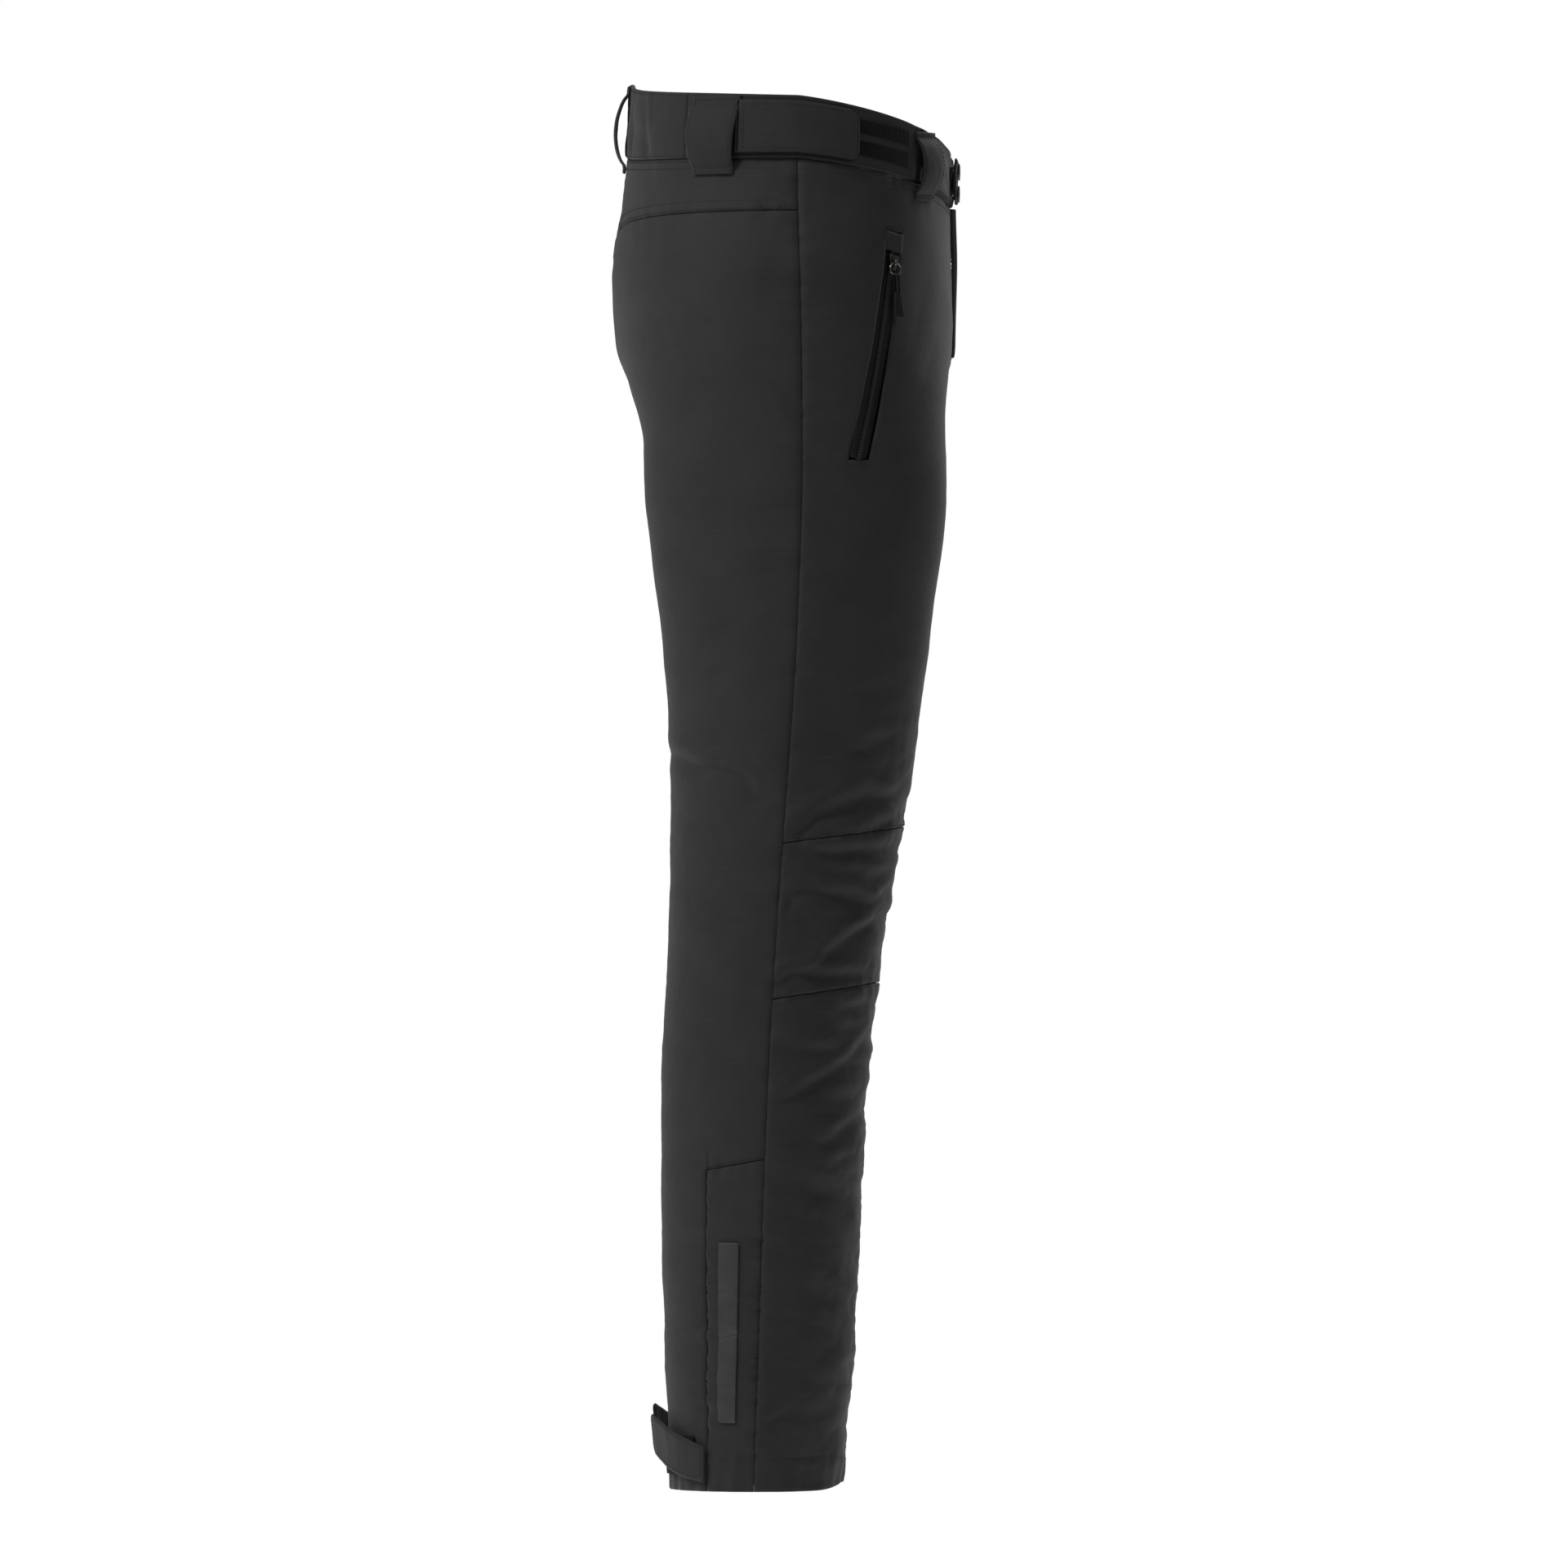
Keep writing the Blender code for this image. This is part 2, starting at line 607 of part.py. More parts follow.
# ---- Lower leg trim ---------------------------------------------------------------------------------
def lower_leg_trim(label, side, root):
    """The reflective strip, the loop patch and the hem tab, which is hinged on the gusset's edge."""
    low, high = (-leg_angle(angle) for angle in reversed(STRIP_ANGLES))
    rows = [level(z) for z in spaced(*STRIP_HEIGHTS, 4)]
    layers = (STRIP_OUT + TRIM_THICK, STRIP_OUT)
    cloth(f"reflective_strip_{label}", side, [low, (low + high) / 2, high], rows, layers,
          REFLECTIVE, root)

    low, high = (-leg_angle(angle) for angle in reversed(HEM_PATCH_ANGLES))
    rows = [level(z) for z in HEM_PATCH_HEIGHTS]
    cloth(f"hem_loop_patch_{label}", side, spaced(low, high, 4), rows,
          (STRIP_OUT + TRIM_THICK, STRIP_OUT), HOOK, root)

    hinge = hem_hinge(side)
    carrier = empty(f"hem_tab_pivot_{label}", root, world(Matrix.Translation(hinge)))
    end = -leg_angle(HEM_TAB_END_ANGLE)
    start = -GUSSET_T

    def place(t, z, layer):
        share = (t - start) / (end - start)
        out = HEM_TAB_OUT + (HEM_TAB_END_OUT - HEM_TAB_OUT) * share * share
        height = HEM_TAB_LOW + HEM_TAB_RISE * share + z * HEM_TAB_WIDTH
        return on_form(side, t, height, out + layer) - hinge

    cloth(f"hem_tab_{label}", side, spaced(end, start, 6), [level(0.0), level(1.0)],
          (HEM_TAB_THICK, 0.0), SHELL, carrier, place=place)


def hem_hinge(side):
    """A point of the line that a hem tab peels about: the outer face of its sewn end."""
    low, high = hem_hinge_ends(side)
    return (low + high) / 2


def hem_hinge_ends(side):
    out = HEM_TAB_OUT + HEM_TAB_THICK
    low = on_form(side, -GUSSET_T, HEM_TAB_LOW, out)
    return low, on_form(side, -GUSSET_T, HEM_TAB_LOW + HEM_TAB_WIDTH, out)


# ---- Waistband --------------------------------------------------------------------------------------
def band_rows():
    """Lines round the waistband from its seam to its top edge, close enough to follow the form."""
    count = max(2, ceil((OUTSEAM - BAND_SEAM_BACK) / BAND_ROW_STEP))
    return [
        lambda t, share=i / count: (1 - share) * (band_seam(t) + SEAM_Z) + share * band_top(t)
        for i in range(count + 1)
    ]


def around_back(t, z, layer):
    """A place on the back of the waistband, with t from -1 at the right to 1 at the left."""
    side = LEFT if t >= 0 else RIGHT
    return on_form(side, abs(t) - 1.0, z, layer)


def mirrored(line):
    return lambda t: line(abs(t) - 1.0)


def waistband(root):
    """The gathered back of the band, and a side and a front piece on each half."""
    layers = (BAND_OUT, BAND_OUT - BAND_THICK)
    half = columns_between(-1.0, -body_angle(BAND_BACK_ANGLE) - SEAM_T)
    columns = [-1.0 - t for t in reversed(half)] + [1.0 + t for t in half[1:]]
    rows = [mirrored(line) for line in band_rows()]
    cloth("waistband_back", LEFT, columns, rows, layers, BAND, root, place=around_back)
    joint = body_angle(LOOP_FRONT_ANGLE)
    for label, side in SIDES:
        columns = columns_between(-body_angle(BAND_BACK_ANGLE) + SEAM_T, joint - SEAM_T)
        cloth(f"waistband_side_{label}", side, columns, band_rows(), layers, BAND, root)
        columns = columns_between(joint + SEAM_T, 1.0 - 2 * SEAM_T)
        cloth(f"waistband_front_{label}", side, columns, band_rows(), layers, BAND, root)


def belt_loop(name, side, angle, width, root):
    """A strip sewn down below the band and at its top, which stands off the band between."""
    t = body_angle(angle) if angle > -90 else -1.0
    step = 0.01 if t > -1.0 else 0.0
    apart = on_form(side, t + 0.01, BAND_SEAM_SIDE) - on_form(side, t - step, BAND_SEAM_SIDE)
    half = width / 2 / apart.length * (0.01 + step)
    low = band_seam(t) - LOOP_DROP
    high = band_top(t) - 0.002
    face = BAND_OUT + 2 * SLIDER_CLEARANCE

    def place(along, share, layer):
        place_t = t + along * half
        side_here = side
        if angle <= -90:
            side_here = LEFT if along >= 0 else RIGHT
            place_t = -1.0 + abs(along) * half
        stand = sin(pi * min(max((share - 0.10) / 0.80, 0.0), 1.0)) ** 0.6
        z = low + (high - low) * share
        return on_form(side_here, place_t, z, face + LOOP_GAP * stand + layer)

    shares = (0.0, 0.10, 0.16, 0.26, 0.40, 0.60, 0.74, 0.84, 0.90, 1.0)
    cloth(name, side, [-1.0, -0.5, 0.0, 0.5, 1.0], [level(share) for share in shares],
          (LOOP_THICK, 0.0), BAND, root, place=place)


def belt_loops(root):
    belt_loop("belt_loop_centre_back", LEFT, -90.0, LOOP_BACK_WIDTH, root)
    for label, side in SIDES:
        belt_loop(f"belt_loop_rear_{label}", side, -LOOP_REAR_ANGLE, LOOP_REAR_WIDTH, root)
        belt_loop(f"belt_loop_front_{label}", side, LOOP_FRONT_ANGLE, LOOP_FRONT_WIDTH, root)


def waist_hinge(side):
    """A point of the line that a waist tab peels about: the outer face of its sewn end."""
    low, high = waist_hinge_ends(side)
    return (low + high) / 2


def waist_hinge_ends(side):
    t = body_angle(WAIST_TAB_ANGLES[0])
    out = WAIST_TAB_OUT + WAIST_TAB_THICK
    low = on_form(side, t, band_seam(t) + WAIST_TAB_INSET, out)
    return low, on_form(side, t, band_top(t) - WAIST_TAB_INSET, out)


def waist_tabs(root):
    """The adjusters: a sewn base, a tab that peels off and the two loop strips that hold it."""
    layers = (WAIST_TAB_OUT + WAIST_TAB_THICK, WAIST_TAB_OUT)
    for label, side in SIDES:
        start, end = (body_angle(angle) for angle in WAIST_TAB_ANGLES)
        rows = [lambda t: band_seam(t) + WAIST_TAB_INSET, lambda t: band_top(t) - WAIST_TAB_INSET]
        base = [body_angle(WAIST_TAB_BASE_ANGLE), start - 3 * SEAM_T]
        cloth(f"waist_tab_base_{label}", side, spaced(*base, 2), rows,
              (layers[0], BAND_OUT + SLIDER_CLEARANCE), BAND, root)
        hinge = waist_hinge(side)
        carrier = empty(f"waist_tab_pivot_{label}", root, world(Matrix.Translation(hinge)))
        cloth(f"waist_tab_{label}", side, columns_between(start, end), rows, layers, BAND, carrier,
              place=lambda t, z, out: on_form(side, t, z, out) - hinge)
        low, high = (body_angle(angle) for angle in LOOP_TAPE_ANGLES)
        for strip, lift in (("lower", -0.5), ("upper", 0.5)):
            def edge(share, lift=lift):
                return lambda t: (
                    (band_seam(t) + band_top(t)) / 2 + lift * LOOP_TAPE_SPACING + share * LOOP_TAPE_WIDTH
                )
            cloth(f"loop_strip_{strip}_{label}", side, columns_between(low, high), [edge(-0.5), edge(0.5)],
                  (LOOP_TAPE_OUT + TRIM_THICK, LOOP_TAPE_OUT), HOOK, root)


# ---- Front closure ----------------------------------------------------------------------------------
def front_fraction(x, z):
    """The t on the front of the body whose point is x from the centre, on either side."""
    low, high = 0.5, 1.0
    for _ in range(40):
        mid = (low + high) / 2
        low, high = (mid, high) if form_point(LEFT, mid, z).x > abs(x) else (low, mid)
    return (low + high) / 2


def on_front(x, z, out):
    """A place on the front of the waistband, x from the centre."""
    side = LEFT if x >= 0 else RIGHT
    return on_form(side, front_fraction(x, z), z, out)


def closure_hinge():
    """A point of the line that the closure tab opens about: the outer face of its sewn end."""
    low, high = closure_hinge_ends()
    return (low + high) / 2


def closure_hinge_ends():
    out = CLOSURE_OUT + CLOSURE_THICK
    low = on_front(CLOSURE_HINGE_X, BAND_SEAM_FRONT + CLOSURE_INSET, out)
    return low, on_front(CLOSURE_HINGE_X, BAND_TOP_FRONT - CLOSURE_INSET, out)


def snap_frame(lift):
    """The frame of a snap, with Z out of the cloth."""
    z = (BAND_SEAM_FRONT + BAND_TOP_FRONT) / 2 + lift * SNAP_SPACING
    t = front_fraction(SNAP_X, z)
    normal = form_normal(RIGHT, t, z)
    turn = Vector((0, 0, 1)).rotation_difference(normal).to_matrix().to_4x4()
    return Matrix.Translation(on_form(RIGHT, t, z, 0.0)) @ turn


def closure(root):
    """The front tab with its two snap caps, and the studs that they press onto."""
    hinge = closure_hinge()
    carrier = empty("closure_tab_pivot", root, world(Matrix.Translation(hinge)))

    def place(x, z, layer):
        return on_front(x, z, layer) - hinge

    def edge(line, inset):
        return lambda x: line(front_fraction(x, BAND_SEAM_FRONT)) + inset

    tab = cloth("closure_tab", LEFT, spaced(CLOSURE_END_X, CLOSURE_HINGE_X, 8),
                [edge(band_seam, CLOSURE_INSET), edge(band_top, -CLOSURE_INSET)],
                (CLOSURE_OUT + CLOSURE_THICK, CLOSURE_OUT), BAND, carrier, place=place)
    stud_foot = BAND_OUT + SNAP_CLEARANCE
    tab_outer = CLOSURE_OUT + CLOSURE_THICK + SNAP_CLEARANCE
    hollow = SNAP_POST_RADIUS + 0.0004
    for label, lift in (("lower", -0.5), ("upper", 0.5)):
        frame = world(snap_frame(lift))
        hole = bmesh.new()
        bmesh.ops.create_cone(hole, cap_ends=True, segments=20, depth=0.012,
                              radius1=SNAP_SHANK_RADIUS + 0.0004, radius2=SNAP_SHANK_RADIUS + 0.0004)
        cutter = bpy.data.objects.new(f"snap_hole_{label}", mesh_of(hole, "snap_hole", smooth=False))
        cutter.matrix_world = frame @ Matrix.Translation((0, 0, CLOSURE_OUT))
        cut(tab, cutter, f"snap_hole_{label}")
        cap = [
            (0.0, tab_outer + 0.0012), (SNAP_CAP_RADIUS - 0.0008, tab_outer + 0.0012),
            (SNAP_CAP_RADIUS, tab_outer + 0.0004), (SNAP_CAP_RADIUS, tab_outer),
            (SNAP_SHANK_RADIUS, tab_outer), (SNAP_SHANK_RADIUS, CLOSURE_OUT - 0.0004),
            (hollow, CLOSURE_OUT - 0.0004), (hollow, tab_outer - 0.0002), (0.0, tab_outer - 0.0002),
        ]
        turned(f"snap_cap_{label}", cap, STEEL, carrier).matrix_world = frame
        post = tab_outer - 0.0006
        stud = [
            (0.0, post), (SNAP_POST_RADIUS - 0.0004, post), (SNAP_POST_RADIUS, post - 0.0004),
            (SNAP_POST_RADIUS, stud_foot + 0.0008), (0.0050, stud_foot + 0.0008),
            (0.0050, stud_foot), (0.0, stud_foot),
        ]
        turned(f"snap_stud_{label}", stud, STEEL, root).matrix_world = frame


# ---- Zips -------------------------------------------------------------------------------------------
def tape_profile(width):
    """The section of a zip tape with its coil, as (across, out) points."""
    half, coil = width / 2, COIL_WIDTH / 2
    return [
        (-half, 0.0), (half, 0.0), (half, TAPE_THICK), (coil, TAPE_THICK),
        (coil - 0.0008, TAPE_THICK + COIL_HIGH), (0.0008 - coil, TAPE_THICK + COIL_HIGH),
        (-coil, TAPE_THICK), (-half, TAPE_THICK),
    ]


def hanging(frame):
    """The same place and the same face of the cloth, with -Z turned to hang straight down."""
    out = -frame.col[1].to_3d()
    return frame_matrix(frame.translation, Vector((0, 0, 1)).cross(out), out)


def slider_and_pull(label, frame, slider_body, pull_body, root, coil_top, cord=PULL_CORD):
    """A slider over the coil, the ring on its bridge and the pull that hangs from the ring."""
    slider_at = empty(f"{slider_body}_pivot", root, frame)
    plate = coil_top + SLIDER_CLEARANCE
    body = rounded_box(f"{label}_slider", (SLIDER_WIDTH, SLIDER_HIGH, SLIDER_LENGTH),
                       (0.0, -plate - SLIDER_HIGH / 2, 0.0), 0.0006, STEEL, slider_at)
    body.matrix_world = frame
    hole = plate + SLIDER_HIGH + 0.0004
    bridge = torus("bridge", BRIDGE_RADIUS, WIRE_RADIUS, (0.0, -hole, 0.0), (1, 0, 0), STEEL,
                   slider_at, around=14, section=6)
    bridge.matrix_world = frame
    bpy.context.view_layer.update()
    join(body, [bridge])
    pin = hanging(frame @ Matrix.Translation((0.0, -hole - PIN_LIFT, 0.0)))
    pull_at = empty(f"{pull_body}_pivot", slider_at, pin)
    ring = torus(f"{label}_pull_ring", RING_RADIUS, WIRE_RADIUS, (0.0, 0.0, -RING_RADIUS), (0, 1, 0),
                 STEEL, pull_at, around=20, section=6)
    ring.matrix_world = pin
    low = -2 * RING_RADIUS
    grip = rounded_box(f"{label}_pull_tab", (PULL_WIDTH, PULL_THICK, PULL_LENGTH),
                       (0.0, 0.0, low - cord - PULL_LENGTH / 2), 0.0006, RUBBER, pull_at)
    grip.matrix_world = pin
    loop = torus("cord_loop", 0.0023, WIRE_RADIUS, (0.0, 0.0, low), (1, 0, 0), RUBBER, pull_at,
                 around=12, section=6)
    loop.matrix_world = pin
    stem = rounded_box("cord", (0.0022, 0.0014, cord - 0.0012), (0.0, 0.0, low - cord / 2 - 0.0014),
                       0.0, RUBBER, pull_at)
    stem.matrix_world = pin
    bpy.context.view_layer.update()
    join(grip, [stem, loop])
    return slider_at, pull_at


def fly_line():
    """The two ends of the fly zip's line, on the centre front."""
    deep = SHELL_THICK + TAPE_THICK + 0.0016
    low = on_form(LEFT, 1.0, FLY_BOTTOM + 2 * SEAM_GAP, -deep)
    high = on_form(LEFT, 1.0, FLY_TOP, -deep)
    low.x = high.x = 0.0
    return low, high


def fly_frame(share):
    low, high = fly_line()
    out = (high - low).cross(Vector((1, 0, 0)))
    out = -out if out.y > 0 else out
    return frame_matrix(low.lerp(high, share), Vector((1, 0, 0)), out)


def fly_cutter(label, side):
    """The opening that the fly leaves in a front panel."""
    bm = bmesh.new()
    bmesh.ops.create_cube(bm, size=1.0)
    tall = BAND_SEAM_FRONT + 0.02 - FLY_BOTTOM
    bmesh.ops.scale(bm, vec=(2 * FLY_HALF_OPENING, 0.04, tall), verts=bm.verts)
    middle = form_point(side, 1.0, FLY_BOTTOM)
    bmesh.ops.translate(bm, vec=(0.0, middle.y, FLY_BOTTOM + tall / 2), verts=bm.verts)
    cutter = bpy.data.objects.new(f"fly_opening_{label}", mesh_of(bm, "fly_opening", smooth=False))
    cutter.matrix_world = world(Matrix.Identity(4))
    return cutter


def fly(root):
    """The fly zip and the shield behind it."""
    low, high = fly_line()
    frame = fly_frame(0.0)
    length = (high - low).length
    bm = bmesh.new()
    verts = [bm.verts.new((across, -out, 0.0)) for across, out in tape_profile(FLY_TAPE_WIDTH)]
    face = bm.faces.new(verts)
    made = bmesh.ops.extrude_face_region(bm, geom=[face], use_keep_orig=True)
    top = [item for item in made["geom"] if isinstance(item, bmesh.types.BMVert)]
    bmesh.ops.translate(bm, verts=top, vec=(0.0, 0.0, length))
    bmesh.ops.recalc_face_normals(bm, faces=list(bm.faces))
    tape = new_object("fly_zip_tape", mesh_of(bm, "fly_zip_tape"), TAPE, root)
    tape.matrix_world = world(frame)

    half = FLY_SHIELD_WIDTH / 2

    def shield(x, z, layer):
        share = (z - FLY_BOTTOM) / (FLY_TOP - FLY_BOTTOM)
        drop = on_front(x, z, 0.0).y - on_front(0.0, z, 0.0).y
        return Vector((x, low.lerp(high, share).y + 0.0012 + drop + layer, z))

    rows = [level(z) for z in spaced(FLY_BOTTOM + 0.004, FLY_TOP, 3)]
    cloth("fly_shield", LEFT, spaced(-half, half, 6), rows, (0.0, FLY_SHIELD_THICK), SHELL, root,
          place=shield)
    share = 1.0 - (SLIDER_LENGTH / 2 + 0.001) / (high - low).length
    slider_and_pull("fly", world(fly_frame(share)), "fly_slider", "fly_pull", root,
                    TAPE_THICK + COIL_HIGH, cord=0.008)


def pocket_arc(side):
    """Centre, axis and end angles of the circle that a pocket zip's line follows."""
    points = [on_form(side, fraction_at(side, f, z), z, 0.0) for f, z in POCKET_POINTS]
    top, middle, bottom = points
    a, b = top - middle, bottom - middle
    normal = a.cross(b)
    lean = b * a.length_squared - a * b.length_squared
    centre = middle + lean.cross(normal) / (2 * normal.length_squared)
    return centre, normal.normalized(), points


def pocket_frame(side, angle=0.0):
    """The frame on the pocket zip's line, turned along it by an angle from the middle point."""
    centre, axis, points = pocket_arc(side)
    middle = points[1]
    tangent = axis.cross(middle - centre).normalized()
    tangent = tangent if tangent.z > 0 else -tangent
    t = fraction_at(side, *POCKET_POINTS[1])
    normal = form_normal(side, t, middle.z)
    normal = (normal - tangent * normal.dot(tangent)).normalized()
    across = (-normal).cross(tangent)
    turn = Matrix((across, -normal, tangent)).transposed().to_4x4()
    frame = Matrix.Translation(middle) @ turn
    spin = Matrix.Translation(centre) @ Matrix.Rotation(angle, 4, axis) @ Matrix.Translation(-centre)
    return spin @ frame


def pocket_angles(side):
    """The turns about the arc's axis from the middle point to the top and to the bottom."""
    centre, axis, points = pocket_arc(side)
    middle = points[1] - centre

    def turn(point):
        arm = point - centre
        return atan2(axis.dot(middle.cross(arm)), middle.dot(arm))

    return turn(points[0]), turn(points[2])


def pocket_cutter(label, side):
    """The slot in a front panel that the pocket zip closes."""
    half = POCKET_OPENING_WIDTH / 2
    corners = [(-half, -0.012), (half, -0.012), (half, 0.012), (-half, 0.012)]
    bm = pocket_sweep(side, corners, POCKET_TAPE_GAP)
    cutter = bpy.data.objects.new(f"pocket_opening_{label}", mesh_of(bm, "pocket_opening", smooth=False))
    cutter.matrix_world = world(Matrix.Identity(4))
    return cutter


def pocket_sweep(side, section, longer):
    """An (across, back) section swept along the pocket zip's arc, longer by a gap at each end."""
    centre, axis, _ = pocket_arc(side)
    up, down = pocket_angles(side)
    radius = (pocket_frame(side).translation - centre).length
    way = 1.0 if up > 0 else -1.0
    start = down - way * (0.003 + longer) / radius
    end = up + way * (POCKET_GARAGE + longer) / radius
    frame = pocket_frame(side, start)
    bm = bmesh.new()
    verts = [bm.verts.new(frame @ Vector((across, back, 0.0))) for across, back in section]
    face = bm.faces.new(verts)
    bmesh.ops.spin(bm, geom=[face], cent=centre, axis=axis, angle=end - start, steps=12)
    bmesh.ops.recalc_face_normals(bm, faces=list(bm.faces))
    if bm.calc_volume(signed=True) < 0:
        bmesh.ops.reverse_faces(bm, faces=list(bm.faces))
    return bm


def pocket_zip(label, side, root):
    """The curved zip tape of a hand pocket, its slider and its pull."""
    width = POCKET_OPENING_WIDTH - 2 * POCKET_TAPE_GAP
    section = [(across, POCKET_TAPE_DEEP - out) for across, out in tape_profile(width)]
    bm = pocket_sweep(side, section, 0.0)
    new_object(f"pocket_zip_tape_{label}", mesh_of(bm, "pocket_zip_tape"), TAPE, root)
    slider_and_pull(f"pocket_{label}", world(pocket_frame(side, pocket_rest(side))),
                    f"pocket_slider_{label}", f"pocket_pull_{label}", root,
                    TAPE_THICK + COIL_HIGH - POCKET_TAPE_DEEP)


def pocket_rest(side):
    """The turn about the arc's axis of the closed slider, just below the zip's top stop."""
    centre, _, _ = pocket_arc(side)
    up, _ = pocket_angles(side)
    radius = (pocket_frame(side).translation - centre).length
    back = (SLIDER_LENGTH / 2 + 0.001) / radius
    return up - (back if up > 0 else -back)


# ---- Assembly ---------------------------------------------------------------------------------------
def world(matrix):
    """A frame given in heights from the hem, as one in the object's own coordinates."""
    return Matrix.Translation((0.0, 0.0, -WAIST_HEIGHT)) @ matrix


def main():
    for obj in list(bpy.data.objects):
        bpy.data.objects.remove(obj)
    root = empty(NAME, None, Matrix.Translation((0.0, 0.0, -WAIST_HEIGHT)))
    for label, side in SIDES:
        leg_panels(label, side, root)
        inner_layers(label, side, root)
        lower_leg_trim(label, side, root)
        pocket_zip(label, side, root)
    waistband(root)
    belt_loops(root)
    waist_tabs(root)
    closure(root)
    fly(root)


if __name__ == "__main__":
    main()
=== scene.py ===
"""The looks of a pair of insulated ski pants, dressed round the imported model.

Lengths are in metres. Heights (z) are measured up from the hem; the frame's origin is WAIST_HEIGHT above it.
A place on the garment is (side, t, z), where t runs from 0 on the outer side seam to 1 on the inseam or
centre front and to -1 on the inseam or centre back, as in the part's own source.
"""

from __future__ import annotations

import sys

import logging
import math
from contextlib import contextmanager
from dataclasses import dataclass, field
from enum import Enum
from functools import cached_property
from typing import Callable, Iterable, Iterator, Sequence

import bmesh
import bpy
import numpy as np
from mathutils import Matrix, Vector

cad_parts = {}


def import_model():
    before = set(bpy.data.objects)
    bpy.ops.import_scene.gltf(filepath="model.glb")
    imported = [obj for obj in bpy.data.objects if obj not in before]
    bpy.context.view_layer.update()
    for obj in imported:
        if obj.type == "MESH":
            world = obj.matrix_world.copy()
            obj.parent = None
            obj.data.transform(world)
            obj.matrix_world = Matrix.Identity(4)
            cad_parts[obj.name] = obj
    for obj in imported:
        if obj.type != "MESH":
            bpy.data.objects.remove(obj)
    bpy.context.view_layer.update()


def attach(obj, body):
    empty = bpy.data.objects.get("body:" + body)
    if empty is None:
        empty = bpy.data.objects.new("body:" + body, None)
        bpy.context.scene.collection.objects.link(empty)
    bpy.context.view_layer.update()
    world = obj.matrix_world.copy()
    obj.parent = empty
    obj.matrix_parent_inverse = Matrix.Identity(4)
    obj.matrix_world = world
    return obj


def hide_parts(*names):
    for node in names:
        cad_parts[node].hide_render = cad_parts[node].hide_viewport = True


LOG = logging.getLogger("ski_pants")
Array = np.ndarray
Line = Callable[[Array], Array]
MM = 0.001
WAIST_HEIGHT = 1.050
# How far a stitch's foot stands off the cloth, and the pitch of a zip's coil
SKIM = 0.05 * MM
COIL_PITCH = 0.78 * MM


class Side(Enum):
    """A leg, named as the wearer sees it. Its value is the sign of x."""

    LEFT = 1
    RIGHT = -1

    @property
    def label(self) -> str:
        """The word used in names."""
        return self.name.lower()


# ---- Small tools -------------------------------------------------------------------------------
def eased(low: float, high: float, value: Array) -> Array:
    """A smooth step.

    Args:
        low: where it starts.
        high: where it ends; may be below low, which turns the step round.
        value: the values to step.

    Returns:
        0 before low, 1 after high.
    """
    u = np.clip((np.asarray(value, float) - low) / (high - low), 0.0, 1.0)
    return u * u * (3 - 2 * u)


def bump(centre: float, width: float, value: Array) -> Array:
    """A bell of height 1 about centre, with the given half width."""
    return np.exp(-(((np.asarray(value, float) - centre) / width) ** 2))


def unit(vectors: Array) -> Array:
    """The vectors at length 1."""
    return vectors / np.maximum(np.linalg.norm(vectors, axis=-1, keepdims=True), 1e-12)


def corner_cut(past: Array, radius: float, share: float) -> Array:
    """How far a round corner draws an edge in.

    Args:
        past: how far beyond the corner's start each place is.
        radius: the corner's radius.
        share: the part of the radius that is cut, a little short of 1.

    Returns:
        The distance drawn in.
    """
    d = np.clip(past, 0, radius * share)
    return radius - np.sqrt(radius ** 2 - d ** 2)


def value_at(line: Callable[[Array], Array], place: float) -> float:
    """The value of a line at one place."""
    return float(line(np.array([place]))[0])


def link(piece: bpy.types.Object) -> bpy.types.Object:
    """Puts a new object into the scene."""
    bpy.context.scene.collection.objects.link(piece)
    return piece


def linear(hex_colour: str) -> tuple[float, float, float, float]:
    """Turns an sRGB hex colour to linear light.

    Args:
        hex_colour: six hex digits.

    Returns:
        Red, green, blue and an alpha of 1.
    """
    values = [int(hex_colour[i:i + 2], 16) / 255 for i in (0, 2, 4)]
    light = [v / 12.92 if v <= 0.04045 else ((v + 0.055) / 1.055) ** 2.4 for v in values]
    return (light[0], light[1], light[2], 1.0)


class GradientNoise:
    """Smooth seeded noise in space, the same on both sides of every seam."""

    def __init__(self, seed: int) -> None:
        """Draws the lattice's directions."""
        draw = np.random.default_rng(seed)
        self.order = np.tile(draw.permutation(256), 3)
        self.ways = unit(draw.normal(size=(256, 3)))

    def __call__(self, x: Array, y: Array, z: Array) -> Array:
        """The noise at each point, about -0.7 to 0.7."""
        place = np.stack(np.broadcast_arrays(x, y, z), axis=-1).astype(float)
        cell = np.floor(place).astype(int)
        part = place - cell
        fade = part ** 3 * (part * (part * 6 - 15) + 10)
        total = np.zeros(place.shape[:-1])
        for corner in range(8):
            step = np.array([corner & 1, corner >> 1 & 1, corner >> 2 & 1])
            at = (cell + step) & 255
            index = self.order[self.order[self.order[at[..., 0]] + at[..., 1]] + at[..., 2]] & 255
            weight = np.prod(np.where(step, fade, 1 - fade), axis=-1)
            total += weight * np.sum(self.ways[index] * (part - step), axis=-1)
        return total


